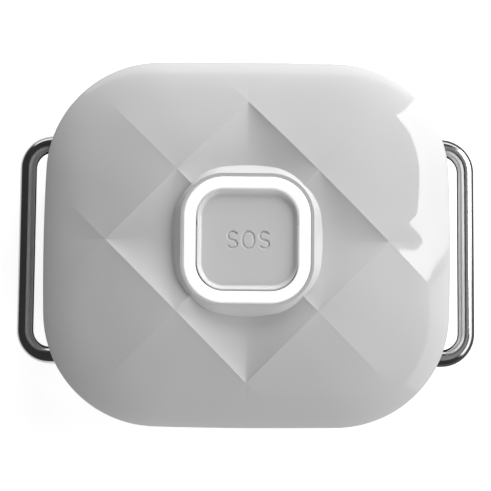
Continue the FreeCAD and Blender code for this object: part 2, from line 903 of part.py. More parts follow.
def vibration_motor():
    """Coin motor with a stepped lid."""
    x, y = motor_place
    can = cylinder(motor_radius, x, y, board_top, board_top + motor_height - motor_lid_height)
    lid = cylinder(motor_radius - motor_lid_step, x, y, board_top, board_top + motor_height)
    return can.fuse(lid)


def battery():
    """Sealed pouch cell with soft edges."""
    cell = plate(battery_size, (0, 0), battery_corner, battery_bottom)
    flat = edges_at(cell, battery_top) + edges_at(cell, battery_bottom)
    return cell.makeChamfer(battery_chamfer, flat)


def battery_pad():
    """Adhesive foam pad under the cell."""
    size = (battery_size[0] - 2 * pad_margin, battery_size[1] - 2 * pad_margin, pad_thickness)
    return plate(size, (0, 0), battery_corner, floor_thickness)


def battery_flex():
    """Folded tab from the end of the cell up to the underside of the board."""
    y0 = battery_size[1] / 2 + flex_gap
    y1 = y0 + flex_reach
    z0 = battery_bottom + battery_size[2] / 2
    z1 = board_bottom - flex_thickness
    t = flex_thickness
    x = flex_place - flex_width / 2
    profile = [Vector(x, y0, z0), Vector(x, y1 + t, z0), Vector(x, y1 + t, z1),
               Vector(x, y1 + flex_width / 2, z1), Vector(x, y1 + flex_width / 2, z1 + t),
               Vector(x, y1, z1 + t), Vector(x, y1, z0 + t), Vector(x, y0, z0 + t),
               Vector(x, y0, z0)]
    return Part.Face(Part.makePolygon(profile)).extrude(Vector(flex_width, 0, 0))


def inner_frame():
    """Moulded frame over the battery, with posts that reach the board."""
    bottom, top = frame_bottom, frame_top
    frame = prism(outline(frame_inset, bottom), frame_thickness)
    frame = frame.common(block(-frame_half_width, frame_half_width, -half_height, half_height,
                               bottom - past, top + past))
    window = (frame_window[0], frame_window[1], frame_thickness + 2 * past)
    frame = frame.cut(plate(window, (0, 0), frame_window_corner, bottom - past))
    for x, y in screw_places:
        inner_x = math.copysign(abs(x) - boss_radius - frame_boss_gap, x)
        inner_y = math.copysign(abs(y) - boss_radius - frame_boss_gap, y)
        x0, x1 = sorted((inner_x, 2 * x))
        y0, y1 = sorted((inner_y, 2 * y))
        frame = frame.cut(block(x0, x1, y0, y1, bottom - past, top + past))
    reach = contact_pitch * (contact_count - 1) / 2 + pin_barrel_radius + pin_slot_margin
    pins = pin_barrel_radius + pin_slot_margin
    frame = frame.cut(block(-reach, reach, contact_y - pins, contact_y + pins,
                            bottom - past, top + past))
    half_flex = flex_width / 2 + flex_clearance
    y0 = battery_size[1] / 2 - flex_clearance
    frame = frame.cut(block(flex_place - half_flex, flex_place + half_flex, y0,
                            y0 + flex_reach + flex_width, bottom - past, top + past))
    for sx, sy in ((1, 1), (-1, 1), (1, -1), (-1, -1)):
        x, y = sx * frame_post_x, sy * frame_post_y
        frame = frame.fuse(block(x - frame_post_half, x + frame_post_half, y - frame_post_half,
                                 y + frame_post_half, bottom, board_bottom - boss_gap))
    return frame


def housing_screws():
    """Four long screws from the back, each with a six-sided drive recess."""
    seat = screw_recess + screw_head_height
    screws = []
    for x, y in screw_places:
        screw = cylinder(screw_head_radius, x, y, screw_recess, seat)
        screw = screw.fuse(cylinder(screw_radius, x, y, seat, screw_tip))
        points = [Vector(x + screw_drive_radius * math.cos(math.radians(60 * i)),
                         y + screw_drive_radius * math.sin(math.radians(60 * i)),
                         screw_recess) for i in range(7)]
        screws.append(screw.cut(prism(Part.makePolygon(points), screw_drive_depth)))
    return Part.makeCompound(screws)


def contact_xs():
    """Places of the charging contacts along X."""
    first = -contact_pitch * (contact_count - 1) / 2
    return [first + contact_pitch * i for i in range(contact_count)]


def charging_contacts():
    """Plated contacts, pushed through the back from inside up to their flanges."""
    contacts = []
    for x in contact_xs():
        pad = cylinder(contact_radius, x, contact_y, contact_recess, floor_thickness + root)
        flange = cylinder(contact_flange_radius, x, contact_y, floor_thickness,
                          floor_thickness + contact_flange_height)
        contacts.append(pad.fuse(flange))
    return Part.makeCompound(contacts)


def spring_pins():
    """Spring pins that stand between the charging contacts and the board."""
    bottom = floor_thickness + contact_flange_height
    pins = []
    for x in contact_xs():
        tip = cylinder(pin_tip_radius, x, contact_y, bottom, bottom + pin_tip_length)
        barrel = cylinder(pin_barrel_radius, x, contact_y, bottom + pin_tip_length, board_bottom)
        pins.append(tip.fuse(barrel))
    return Part.makeCompound(pins)


def strap_loop(hand):
    """Loop of round wire: two in-turned pins, two legs and the bar that carries the strap."""
    def at(x, y):
        return Vector(x, y, loop_height)

    def bend(start, corner, end):
        middle = corner + (start + end - corner * 2) * (1 - math.sqrt(0.5))
        return Part.Arc(start, middle, end).toShape()

    edges = []
    pin_tip = rib_half - pin_depth
    for sign in (-1, 1):
        corner = at(loop_pivot_x, sign * leg_y)
        pin = Part.makeLine(at(loop_pivot_x, sign * pin_tip), corner)
        leg = Part.makeLine(corner, at(loop_bar_x - loop_bend, sign * leg_y))
        shoulder = bend(at(loop_bar_x - loop_bend, sign * leg_y), at(loop_bar_x, sign * leg_y),
                        at(loop_bar_x, sign * (leg_y - loop_bend)))
        edges.extend([pin, leg, shoulder])
    edges.append(Part.makeLine(at(loop_bar_x, loop_bend - leg_y), at(loop_bar_x, leg_y - loop_bend)))
    path = Part.Wire(Part.__sortEdges__(edges))
    section = Part.Wire(Part.makeCircle(wire_radius, at(loop_pivot_x, -pin_tip), Vector(0, 1, 0)))
    loop = path.makePipeShell([section], True, False, 1)
    if hand < 0:
        loop = loop.mirror(Vector(), Vector(1, 0, 0))
    return loop


nodes = {
    "front_cover": front_cover,
    "rear_cover": rear_cover,
    "housing_seal": housing_seal,
    "light_ring": light_ring,
    "call_button": call_button,
    "button_seal": button_seal,
    "switch_plunger": switch_plunger,
    "switch_body": switch_body,
    "main_board": main_board,
    "ring_leds": ring_leds,
    "radio_shield": radio_shield,
    "processor_chip": lambda: plate(processor_size, processor_place, processor_corner, board_top),
    "power_chip": lambda: plate(power_chip_size, power_chip_place, chip_corner, board_top),
    "motion_sensor": lambda: plate(motion_sensor_size, motion_sensor_place, chip_corner, board_top),
    "gnss_antenna": gnss_antenna,
    "cellular_antenna": cellular_antenna,
    "antenna_springs": antenna_springs,
    "sim_holder": sim_holder,
    "sim_card": sim_card,
    "vibration_motor": vibration_motor,
    "battery": battery,
    "battery_pad": battery_pad,
    "battery_flex": battery_flex,
    "inner_frame": inner_frame,
    "housing_screws": housing_screws,
    "charging_contacts": charging_contacts,
    "spring_pins": spring_pins,
    "strap_loop_left": lambda: strap_loop(-1),
    "strap_loop_right": lambda: strap_loop(1),
}

os.makedirs("parts", exist_ok=True)
for name, make in nodes.items():
    shape = make()
    box = shape.BoundBox
    print(name, shape.ShapeType, "solids", len(shape.Solids), "valid", shape.isValid(),
          "volume %.2f" % shape.Volume,
          "box %.2f..%.2f %.2f..%.2f %.2f..%.2f" % (box.XMin, box.XMax, box.YMin, box.YMax,
                                                    box.ZMin, box.ZMax))
    shape.exportStep(os.path.join("parts", name + ".step"))
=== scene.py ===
"""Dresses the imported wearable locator: gloss housing, lit ring, call button, wire strap loops."""

from dataclasses import dataclass, field
from enum import Enum
import logging
import math
from typing import Callable, ClassVar, Sequence

import bmesh
import bpy
import numpy as np
from mathutils import Matrix, Vector


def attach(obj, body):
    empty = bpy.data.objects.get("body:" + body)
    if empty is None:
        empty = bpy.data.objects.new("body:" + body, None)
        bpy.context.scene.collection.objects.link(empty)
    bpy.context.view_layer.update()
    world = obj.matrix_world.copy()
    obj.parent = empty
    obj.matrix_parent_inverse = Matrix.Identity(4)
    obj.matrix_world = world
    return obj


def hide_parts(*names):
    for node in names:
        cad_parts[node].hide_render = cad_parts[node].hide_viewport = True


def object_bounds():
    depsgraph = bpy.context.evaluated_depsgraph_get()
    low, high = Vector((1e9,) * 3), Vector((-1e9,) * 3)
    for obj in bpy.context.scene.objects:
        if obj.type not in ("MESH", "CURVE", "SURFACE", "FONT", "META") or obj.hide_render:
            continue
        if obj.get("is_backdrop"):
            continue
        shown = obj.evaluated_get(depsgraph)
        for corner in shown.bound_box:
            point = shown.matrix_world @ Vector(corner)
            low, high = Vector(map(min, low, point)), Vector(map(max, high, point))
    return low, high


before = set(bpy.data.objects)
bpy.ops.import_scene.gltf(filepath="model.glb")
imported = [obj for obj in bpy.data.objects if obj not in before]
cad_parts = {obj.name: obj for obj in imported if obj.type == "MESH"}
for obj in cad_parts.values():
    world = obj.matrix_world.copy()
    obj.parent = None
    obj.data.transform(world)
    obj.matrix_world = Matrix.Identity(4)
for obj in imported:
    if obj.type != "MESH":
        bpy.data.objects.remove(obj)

LOG = logging.getLogger("locator")

# Rows of numbers or of points
Row = np.ndarray

# The classes hold lengths in millimetres, and Blender takes metres
MM = 0.001

# How near two places count as one, and how near vertices merge, in metres
SAME = 1e-6
DOUBLE = 1e-7

# Amounts too small to show, which only keep a division from zero
LEAST = 1e-9
SLIGHT = 1e-12
FAINT = 1e-15


# Shader nodes written as expressions


class Expr:
    """A shader socket, or a number, that adds Math nodes when it is used in arithmetic."""

    def __init__(self, graph: "Graph", value: object) -> None:
        """Keeps the node graph and the socket.

        Args:
            graph: The graph that new nodes go into.
            value: A node's output socket.
        """
        self.graph = graph
        self.value = value

    def _math(self, operation: str, *terms: object) -> "Expr":
        """Adds one Math node.

        Args:
            operation: The node's operation.
            terms: Its inputs, in order.

        Returns:
            The node's output.
        """
        inputs = {i: term for i, term in enumerate(terms)}
        return self.graph.node("ShaderNodeMath", {"operation": operation}, inputs)

    def __add__(self, other: object) -> "Expr":
        """Sum."""
        return self._math("ADD", self, other)

    def __radd__(self, other: object) -> "Expr":
        """Sum, with the number first."""
        return self._math("ADD", other, self)

    def __sub__(self, other: object) -> "Expr":
        """Difference."""
        return self._math("SUBTRACT", self, other)

    def __rsub__(self, other: object) -> "Expr":
        """Difference, with the number first."""
        return self._math("SUBTRACT", other, self)

    def __mul__(self, other: object) -> "Expr":
        """Product."""
        return self._math("MULTIPLY", self, other)

    def __rmul__(self, other: object) -> "Expr":
        """Product, with the number first."""
        return self._math("MULTIPLY", other, self)

    def __truediv__(self, other: object) -> "Expr":
        """Quotient."""
        return self._math("DIVIDE", self, other)

    def __rtruediv__(self, other: object) -> "Expr":
        """Quotient, with the number first."""
        return self._math("DIVIDE", other, self)

    def __lt__(self, other: object) -> "Expr":
        """One where this is below the other, else zero."""
        return self._math("LESS_THAN", self, other)

    def __gt__(self, other: object) -> "Expr":
        """One where this is above the other, else zero."""
        return self._math("GREATER_THAN", self, other)

    def size(self) -> "Expr":
        """Absolute value."""
        return self._math("ABSOLUTE", self)

    def largest(self, other: object) -> "Expr":
        """The larger of two."""
        return self._math("MAXIMUM", self, other)

    def ramp(self, low: float, high: float) -> "Expr":
        """Rises smoothly from 0 at low to 1 at high.

        Args:
            low: Where the rise starts.
            high: Where it ends.

        Returns:
            The eased share.
        """
        return self.graph.node("ShaderNodeMapRange", {"interpolation_type": "SMOOTHSTEP"},
                               {"Value": self, "From Min": low, "From Max": high})


class Graph:
    """A material's node tree, with one method that adds any node."""

    # The Mix node's colour sockets, whose names its other sockets have too
    FIRST, SECOND, BLENDED = 6, 7, 2

    def __init__(self, name: str) -> None:
        """Makes an empty material.

        Args:
            name: The material's name.
        """
        self.material = bpy.data.materials.new(name)
        self.material.use_nodes = True
        self.tree = self.material.node_tree
        self.tree.nodes.clear()
        self.output = self.tree.nodes.new("ShaderNodeOutputMaterial")
        self.place = self.node("ShaderNodeTexCoord", {}, {}, "Object")

    def node(self, kind: str, settings: dict, inputs: dict, output: object = 0) -> Expr:
        """Adds a node, sets it and feeds its sockets.

        Args:
            kind: The node's type.
            settings: Its own settings, which are set first.
            inputs: Socket names or numbers, with values or expressions.
            output: The output socket that is wanted.

        Returns:
            That output, as an expression.
        """
        made = self.tree.nodes.new(kind)
        for key, value in settings.items():
            setattr(made, key, value)
        for key, value in inputs.items():
            socket = made.inputs[key]
            if isinstance(value, Expr):
                self.tree.links.new(value.value, socket)
            else:
                socket.default_value = value
        return Expr(self, made.outputs[output])

    def axis(self, index: int) -> Expr:
        """One of the object coordinates, in metres.

        Args:
            index: 0, 1 or 2 for X, Y or Z.

        Returns:
            That coordinate.
        """
        return self.node("ShaderNodeSeparateXYZ", {}, {"Vector": self.place}, index)

    def stretched(self, scale: tuple[float, float, float]) -> Expr:
        """Object coordinates, scaled along each axis.

        Args:
            scale: The three factors.

        Returns:
            The scaled vector.
        """
        return self.node("ShaderNodeMapping", {}, {"Vector": self.place, "Scale": scale})

    def noise(self, per_mm: float, detail: float, vector: Expr | None = None) -> Expr:
        """Smooth noise.

        Args:
            per_mm: Features per millimetre.
            detail: Octaves.
            vector: The coordinates, if not the object's own.

        Returns:
            The noise, from 0 to 1.
        """
        return self.node("ShaderNodeTexNoise", {},
                         {"Vector": vector or self.place, "Scale": per_mm / MM,
                          "Detail": detail}, "Fac")

    def mix(self, share: object, first: object, second: object) -> Expr:
        """Blend of two colours.

        Args:
            share: How much of the second colour shows.
            first: The first colour.
            second: The second colour.

        Returns:
            The blended colour.
        """
        colours = {self.FIRST: self._colour(first), self.SECOND: self._colour(second)}
        return self.node("ShaderNodeMix", {"data_type": "RGBA"}, {0: share, **colours},
                         self.BLENDED)

    @staticmethod
    def _colour(value: object) -> object:
        """A colour as a socket takes it, with its alpha."""
        return value if isinstance(value, Expr) else tuple(value) + (1.0,)

    def bump(self, height: Expr, strength: float, depth_mm: float) -> Expr:
        """Normal from a height pattern.

        Args:
            height: The pattern, from 0 to 1.
            strength: How strongly it shows.
            depth_mm: Its depth in millimetres.

        Returns:
            The bumped normal.
        """
        return self.node("ShaderNodeBump", {},
                         {"Height": height, "Strength": strength, "Distance": depth_mm * MM})

    def finish(self, sockets: dict) -> bpy.types.Material:
        """Adds the surface shader and closes the material.

        Args:
            sockets: Values and expressions for the shader's sockets.

        Returns:
            The material.
        """
        shader = self.node("ShaderNodeBsdfPrincipled", {}, sockets, "BSDF")
        self.tree.links.new(shader.value, self.output.inputs["Surface"])
        return self.material


# Finishes


@dataclass(frozen=True)
class Finish:
    """A surface finish; each kind builds its own material."""

    name: str
    colour: tuple[float, float, float]

    shades: ClassVar[tuple[float, float]] = (1.0, 1.0)

    def build(self) -> bpy.types.Material:
        """Makes the material, or finds it if it was made before."""
        found = bpy.data.materials.get(self.name)
        return found or self.draw(Graph(self.name))

    def draw(self, graph: Graph) -> bpy.types.Material:
        """Adds the finish's nodes.

        Args:
            graph: The empty material's graph.

        Returns:
            The finished material.
        """
        raise NotImplementedError

    def tint(self, factor: float) -> tuple[float, float, float]:
        """The colour, lighter or darker by a factor."""
        return tuple(min(part * factor, 1.0) for part in self.colour)

    def mottled(self, graph: Graph, share: Expr) -> Expr:
        """The colour, varied between the finish's darker and lighter shades."""
        dark, light = self.shades
        return graph.mix(share, self.tint(dark), self.tint(light))


@dataclass(frozen=True)
class GlossMoulding(Finish):
    """Polished moulded plastic: faint orange peel, haze and handling marks."""

    roughness: float = 0.045
    peel_depth_mm: float = 0.0006
    peel_per_mm: float = 0.9
    peel_strength: float = 0.25
    cloud_per_mm: float = 0.05
    haze_per_mm: float = 0.18
    haze_gain: float = 0.025
    bend_of_light: float = 1.5

    shades: ClassVar[tuple[float, float]] = (0.985, 1.01)

    def draw(self, graph: Graph) -> bpy.types.Material:
        """Adds the finish's nodes.

        Args:
            graph: The empty material's graph.

        Returns:
            The finished material.
        """
        cloud = graph.noise(self.cloud_per_mm, detail=3.0)
        haze = graph.noise(self.haze_per_mm, detail=4.0).ramp(low=0.45, high=0.75)
        peel = graph.noise(self.peel_per_mm, detail=2.0)
        return graph.finish({
            "Base Color": self.mottled(graph, cloud),
            "Roughness": self.roughness + haze * self.haze_gain,
            "IOR": self.bend_of_light,
            "Normal": graph.bump(peel, self.peel_strength, self.peel_depth_mm),
        })


@dataclass(frozen=True)
class SatinMoulding(Finish):
    """Moulded plastic with a fine spark texture."""

    roughness: float = 0.38
    grain_per_mm: float = 9.0
    grain_depth_mm: float = 0.004
    grain_strength: float = 0.3
    grain_gain: float = 0.1
    cloud_per_mm: float = 0.12

    shades: ClassVar[tuple[float, float]] = (0.96, 1.03)

    def draw(self, graph: Graph) -> bpy.types.Material:
        """Adds the finish's nodes.

        Args:
            graph: The empty material's graph.

        Returns:
            The finished material.
        """
        grain = graph.noise(self.grain_per_mm, detail=3.0)
        cloud = graph.noise(self.cloud_per_mm, detail=2.0)
        return graph.finish({
            "Base Color": self.mottled(graph, cloud),
            "Roughness": self.roughness + grain * self.grain_gain,
            "Normal": graph.bump(grain, self.grain_strength, self.grain_depth_mm),
        })


@dataclass(frozen=True)
class LitDiffuser(Finish):
    """Milky diffuser that the lamps below fill with light."""

    glow: float = 0.8
    middle_mm: float = 6.2
    roughness: float = 0.3
    milk_per_mm: float = 1.5
    milk_gain: float = 0.08
    bright: tuple[float, float, float] = (1.0, 1.0, 1.0)
    at_edge: tuple[float, float, float] = (0.93, 0.94, 0.96)
    on_side: tuple[float, float, float] = (0.5, 0.5, 0.5)

    shades: ClassVar[tuple[float, float]] = (0.97, 1.02)

    def draw(self, graph: Graph) -> bpy.types.Material:
        """Adds the finish's nodes.

        Args:
            graph: The empty material's graph.

        Returns:
            The finished material.
        """
        across = graph.axis(0).size().largest(graph.axis(1).size())
        edge = (across / MM - self.middle_mm).size().ramp(low=0.3, high=1.3)
        facing = graph.node("ShaderNodeNewGeometry", {}, {}, "Normal")
        upward = graph.node("ShaderNodeSeparateXYZ", {}, {"Vector": facing}, "Z")
        face = graph.mix(edge, self.bright, self.at_edge)
        milk = graph.noise(self.milk_per_mm, detail=2.0)
        return graph.finish({
            "Base Color": self.mottled(graph, milk),
            "Roughness": self.roughness + milk * self.milk_gain,
            "Emission Color": graph.mix(upward.ramp(low=0.2, high=0.9), self.on_side, face),
            "Emission Strength": self.glow,
        })


@dataclass(frozen=True)
class PolishedWire(Finish):
    """Polished steel wire with faint draw lines and fine scuffs."""

    roughness: float = 0.16
    along: tuple[float, float, float] = (1.0, 0.06, 1.0)
    lines_per_mm: float = 5.0
    line_strength: float = 0.04
    line_depth_mm: float = 0.0015
    line_gain: float = 0.04
    scuffs_per_mm: float = 0.5
    scuff_gain: float = 0.04

    shades: ClassVar[tuple[float, float]] = (1.0, 0.93)

    def draw(self, graph: Graph) -> bpy.types.Material:
        """Adds the finish's nodes.

        Args:
            graph: The empty material's graph.

        Returns:
            The finished material.
        """
        lines = graph.noise(self.lines_per_mm, detail=3.0, vector=graph.stretched(self.along))
        scuffs = graph.noise(self.scuffs_per_mm, detail=5.0).ramp(low=0.5, high=0.8)
        return graph.finish({
            "Base Color": self.mottled(graph, scuffs),
            "Metallic": 1.0,
            "Roughness": self.roughness + lines * self.line_gain + scuffs * self.scuff_gain,
            "Normal": graph.bump(lines, self.line_strength, self.line_depth_mm),
        })


@dataclass(frozen=True)
class WorkedMetal(Finish):
    """Small metal parts: turned, drawn or plated."""

    roughness: float = 0.3
    grain: tuple[float, float, float] = (1.0, 1.0, 0.08)
    lines_per_mm: float = 6.0
    line_strength: float = 0.25
    line_depth_mm: float = 0.003
    line_gain: float = 0.12
    stain_per_mm: float = 0.4

    shades: ClassVar[tuple[float, float]] = (0.9, 1.05)

    def draw(self, graph: Graph) -> bpy.types.Material:
        """Adds the finish's nodes.

        Args:
            graph: The empty material's graph.

        Returns:
            The finished material.
        """
        lines = graph.noise(self.lines_per_mm, detail=4.0, vector=graph.stretched(self.grain))
        stain = graph.noise(self.stain_per_mm, detail=3.0)
        return graph.finish({
            "Base Color": self.mottled(graph, stain),
            "Metallic": 1.0,
            "Roughness": self.roughness + lines * self.line_gain,
            "Normal": graph.bump(lines, self.line_strength, self.line_depth_mm),
        })


@dataclass(frozen=True)
class SoftRubber(Finish):
    """Matte elastomer with a dusty bloom."""

    roughness: float = 0.72
    dust_per_mm: float = 2.0
    dust_strength: float = 0.4
    dust_depth_mm: float = 0.01
    dust_gain: float = 0.15

    shades: ClassVar[tuple[float, float]] = (0.8, 1.5)

    def draw(self, graph: Graph) -> bpy.types.Material:
        """Adds the finish's nodes.

        Args:
            graph: The empty material's graph.

        Returns:
            The finished material.
        """
        dust = graph.noise(self.dust_per_mm, detail=5.0)
        return graph.finish({
            "Base Color": self.mottled(graph, dust),
            "Roughness": self.roughness + dust * self.dust_gain,
            "Normal": graph.bump(dust, self.dust_strength, self.dust_depth_mm),
        })


@dataclass(frozen=True)
class BoardLaminate(Finish):
    """Circuit board with lacquered tracks and plated pads."""

    copper: tuple[float, float, float] = (0.75, 0.6, 0.3)
    pads_per_m: float = 1100.0
    pad_reach: float = 0.16
    pad_metal: float = 0.9
    pad_polish: float = 0.1
    tracks_per_m: float = 260.0
    track_wander: float = 3.0
    track_strength: float = 0.3
    track_depth_mm: float = 0.02
    roughness: float = 0.35

    shades: ClassVar[tuple[float, float]] = (1.0, 1.6)

    def draw(self, graph: Graph) -> bpy.types.Material:
        """Adds the finish's nodes.

        Args:
            graph: The empty material's graph.

        Returns:
            The finished material.
        """
        cells = graph.node("ShaderNodeTexVoronoi", {"distance": "CHEBYCHEV"},
                           {"Vector": graph.place, "Scale": self.pads_per_m}, "Distance")
        pads = cells < self.pad_reach
        tracks = graph.node("ShaderNodeTexWave", {"bands_direction": "DIAGONAL"}, {
            "Vector": graph.place, "Scale": self.tracks_per_m,
            "Distortion": self.track_wander, "Detail": 1.0, "Detail Scale": 0.6}, "Fac")
        raised = tracks.ramp(low=0.55, high=0.7)
        return graph.finish({
            "Base Color": graph.mix(pads, self.mottled(graph, raised), self.copper),
            "Metallic": pads * self.pad_metal,
            "Roughness": self.roughness - pads * self.pad_polish,
            "Normal": graph.bump(raised, self.track_strength, self.track_depth_mm),
        })


@dataclass(frozen=True)
class PouchFoil(Finish):
    """Aluminium pouch foil with soft creases."""

    metal: float = 0.85
    roughness: float = 0.3
    crease_per_mm: float = 0.35
    crease_strength: float = 0.5
    crease_depth_mm: float = 0.08
    crease_gain: float = 0.15

    shades: ClassVar[tuple[float, float]] = (0.92, 1.05)

    def draw(self, graph: Graph) -> bpy.types.Material:
        """Adds the finish's nodes.

        Args:
            graph: The empty material's graph.

        Returns:
            The finished material.
        """
        crease = graph.noise(self.crease_per_mm, detail=4.0)
        return graph.finish({
            "Base Color": self.mottled(graph, crease),
            "Metallic": self.metal,
            "Roughness": self.roughness + crease * self.crease_gain,
            "Normal": graph.bump(crease, self.crease_strength, self.crease_depth_mm),
        })


class Palette(Enum):
    """The finishes of this product."""

    HOUSING = GlossMoulding("housing_gloss", (0.8, 0.8, 0.8))
    BUTTON = GlossMoulding("button_gloss", (0.83, 0.83, 0.83), 0.16)
    LIP = SatinMoulding("lip_painted_shade", (0.68, 0.68, 0.68))
    # Painted shade: a flat grey for the lip's up-facing top
    DIFFUSER = LitDiffuser("ring_diffuser", (0.4, 0.4, 0.4))
    WIRE = PolishedWire("loop_wire", (0.74, 0.74, 0.75))
    SCREW = WorkedMetal("screw_steel", (0.42, 0.42, 0.44), 0.32)
    GOLD = WorkedMetal("contact_gold", (0.83, 0.66, 0.33), 0.2)
    TIN = WorkedMetal("shield_tin", (0.68, 0.68, 0.69), 0.34, (0.08, 1.0, 1.0))
    RUBBER = SoftRubber("seal_rubber", (0.045, 0.045, 0.047))
    FOAM = SoftRubber("pad_foam", (0.06, 0.06, 0.065))
    LAMINATE = BoardLaminate("board_green", (0.02, 0.12, 0.06))
    EPOXY = SatinMoulding("chip_epoxy", (0.03, 0.03, 0.032), 0.5, 14.0)
    SWITCH = SatinMoulding("switch_black", (0.05, 0.05, 0.05), 0.42)
    PLUNGER = SatinMoulding("plunger_grey", (0.5, 0.5, 0.48), 0.45)
    LAMP = SatinMoulding("lamp_resin", (0.86, 0.82, 0.55), 0.25)
    CERAMIC = SatinMoulding("antenna_ceramic", (0.62, 0.55, 0.42), 0.6, 5.0)
    CARD = SatinMoulding("card_white", (0.8, 0.8, 0.78), 0.4)
    AMBER = SatinMoulding("film_amber", (0.55, 0.25, 0.04), 0.25)
    FRAME = SatinMoulding("frame_grey", (0.09, 0.09, 0.095), 0.5)
    FOIL = PouchFoil("cell_foil", (0.74, 0.75, 0.77))


# Modelling tools


class Bench:
    """Blender's modelling operators, as a maker uses them on one piece at a time."""

    @staticmethod
    def clear() -> None:
        """Deselects every object."""
        bpy.ops.object.select_all(action="DESELECT")

    @classmethod
    def focus(cls, piece: bpy.types.Object) -> None:
        """Selects one piece alone and makes it active.

        Args:
            piece: The piece.
        """
        cls.clear()
        piece.select_set(True)
        bpy.context.view_layer.objects.active = piece

    @staticmethod
    def named(name: str) -> bpy.types.Object:
        """Names the piece that an operator has just added.

        Args:
            name: The piece's name.

        Returns:
            The piece.
        """
        piece = bpy.context.active_object
        piece.name = name
        piece.data.name = name
        return piece

    @classmethod
    def settle(cls, piece: bpy.types.Object) -> None:
        """Moves the piece's place, turn and size into its mesh."""
        cls.focus(piece)
        bpy.ops.object.transform_apply(location=True, rotation=True, scale=True)

    @classmethod
    def box(cls, name: str, low: Sequence[float], high: Sequence[float]) -> bpy.types.Object:
        """Adds a cube between two corners.

        Args:
            name: The piece's name.
            low: The lowest corner, in millimetres.
            high: The highest corner, in millimetres.

        Returns:
            The piece.
        """
        cls.clear()
        middle = [(a + b) / 2 * MM for a, b in zip(low, high)]
        bpy.ops.mesh.primitive_cube_add(size=1.0, location=middle)
        piece = cls.named(name)
        piece.scale = [(b - a) * MM for a, b in zip(low, high)]
        cls.settle(piece)
        return piece

    @classmethod
    def rounded_face(cls, name: str, half: float, corner: float, height: float,
                     segments: int) -> bpy.types.Object:
        """Adds a plane and rounds its corners.

        Args:
            name: The piece's name.
            half: Half its side, in millimetres.
            corner: Its corner radius.
            height: Its height.
            segments: Steps in each corner.

        Returns:
            The piece, one flat face.
        """
        cls.clear()
        bpy.ops.mesh.primitive_plane_add(size=2 * half * MM, location=(0, 0, height * MM))
        piece = cls.named(name)
        cls.settle(piece)
        bpy.ops.object.mode_set(mode="EDIT")
        bpy.ops.mesh.select_all(action="SELECT")
        bpy.ops.mesh.bevel(offset=corner * MM, segments=segments, affect="VERTICES", profile=0.5)
        bpy.ops.object.mode_set(mode="OBJECT")
        return piece

    @classmethod
    def pick(cls, piece: bpy.types.Object, kind: str, test: Callable[[object], bool]) -> None:
        """Selects what passes a test, in edit mode.

        Args:
            piece: The piece, which goes into edit mode.
            kind: "VERT", "EDGE" or "FACE".
            test: Says if an element belongs to the selection.
        """
        if piece.mode != "EDIT":
            cls.focus(piece)
            bpy.ops.object.mode_set(mode="EDIT")
        bpy.ops.mesh.select_mode(type=kind)
        bpy.ops.mesh.select_all(action="DESELECT")
        mesh = bmesh.from_edit_mesh(piece.data)
        group = {"VERT": mesh.verts, "EDGE": mesh.edges, "FACE": mesh.faces}[kind]
        for element in group:
            if test(element):
                element.select_set(True)
        mesh.select_flush_mode()
        bmesh.update_edit_mesh(piece.data)

    @classmethod
    def pick_all(cls, piece: bpy.types.Object, kind: str) -> None:
        """Selects all elements of a kind, in edit mode."""
        cls.pick(piece, kind, lambda element: True)

    @staticmethod
    def is_middle(face: bmesh.types.BMFace, near: float = 0.5) -> bool:
        """Says if a face's centre lies near the middle, within some millimetres."""
        return face.calc_center_median().xy.length < near * MM

    @staticmethod
    def extrude(offset: Sequence[float]) -> None:
        """Extrudes the selected faces by an offset in millimetres."""
        bpy.ops.mesh.extrude_region_move(
            TRANSFORM_OT_translate={"value": [part * MM for part in offset]})

    @staticmethod
    def extrude_edges(offset: Sequence[float]) -> None:
        """Extrudes the selected edges by an offset in millimetres."""
        bpy.ops.mesh.extrude_edges_move(
            TRANSFORM_OT_translate={"value": [part * MM for part in offset]})

    @staticmethod
    def inset(width: float, depth: float = 0.0) -> None:
        """Insets the selected face by a width, and sinks it by a depth, in millimetres."""
        bpy.ops.mesh.inset(thickness=width * MM, depth=-depth * MM, use_boundary=True,
                           use_even_offset=True)

    @staticmethod
    def leave() -> None:
        """Merges doubles, turns all faces outwards and leaves edit mode."""
        bpy.ops.mesh.select_all(action="SELECT")
        bpy.ops.mesh.remove_doubles(threshold=DOUBLE)
        bpy.ops.mesh.normals_make_consistent(inside=False)
        bpy.ops.object.mode_set(mode="OBJECT")

    @classmethod
    def apply(cls, piece: bpy.types.Object, kind: str, **settings: object) -> None:
        """Adds a modifier and applies it.

        Args:
            piece: The piece.
            kind: The modifier's type.
            settings: Its settings.
        """
        cls.focus(piece)
        modifier = piece.modifiers.new(kind.lower(), kind)
        for key, value in settings.items():
            setattr(modifier, key, value)
        bpy.ops.object.modifier_apply(modifier=modifier.name)

    @classmethod
    def cut(cls, piece: bpy.types.Object, tool: bpy.types.Object) -> None:
        """Cuts a tool's shape out of a piece, and removes the tool."""
        cls.apply(piece, "BOOLEAN", operation="DIFFERENCE", solver="EXACT", object=tool)
        bpy.data.objects.remove(tool, do_unlink=True)

    @classmethod
    def join(cls, pieces: Sequence[bpy.types.Object]) -> bpy.types.Object:
        """Joins pieces into the first of them.

        Args:
            pieces: The pieces.

        Returns:
            The first piece, which now holds them all.
        """
        cls.focus(pieces[0])
        for piece in pieces:
            piece.select_set(True)
        bpy.ops.object.join()
        return pieces[0]

    @classmethod
    def smooth(cls, piece: bpy.types.Object, degrees: float) -> None:
        """Shades a piece smooth up to an angle between its faces."""
        cls.focus(piece)
        bpy.ops.object.shade_smooth_by_angle(angle=math.radians(degrees))

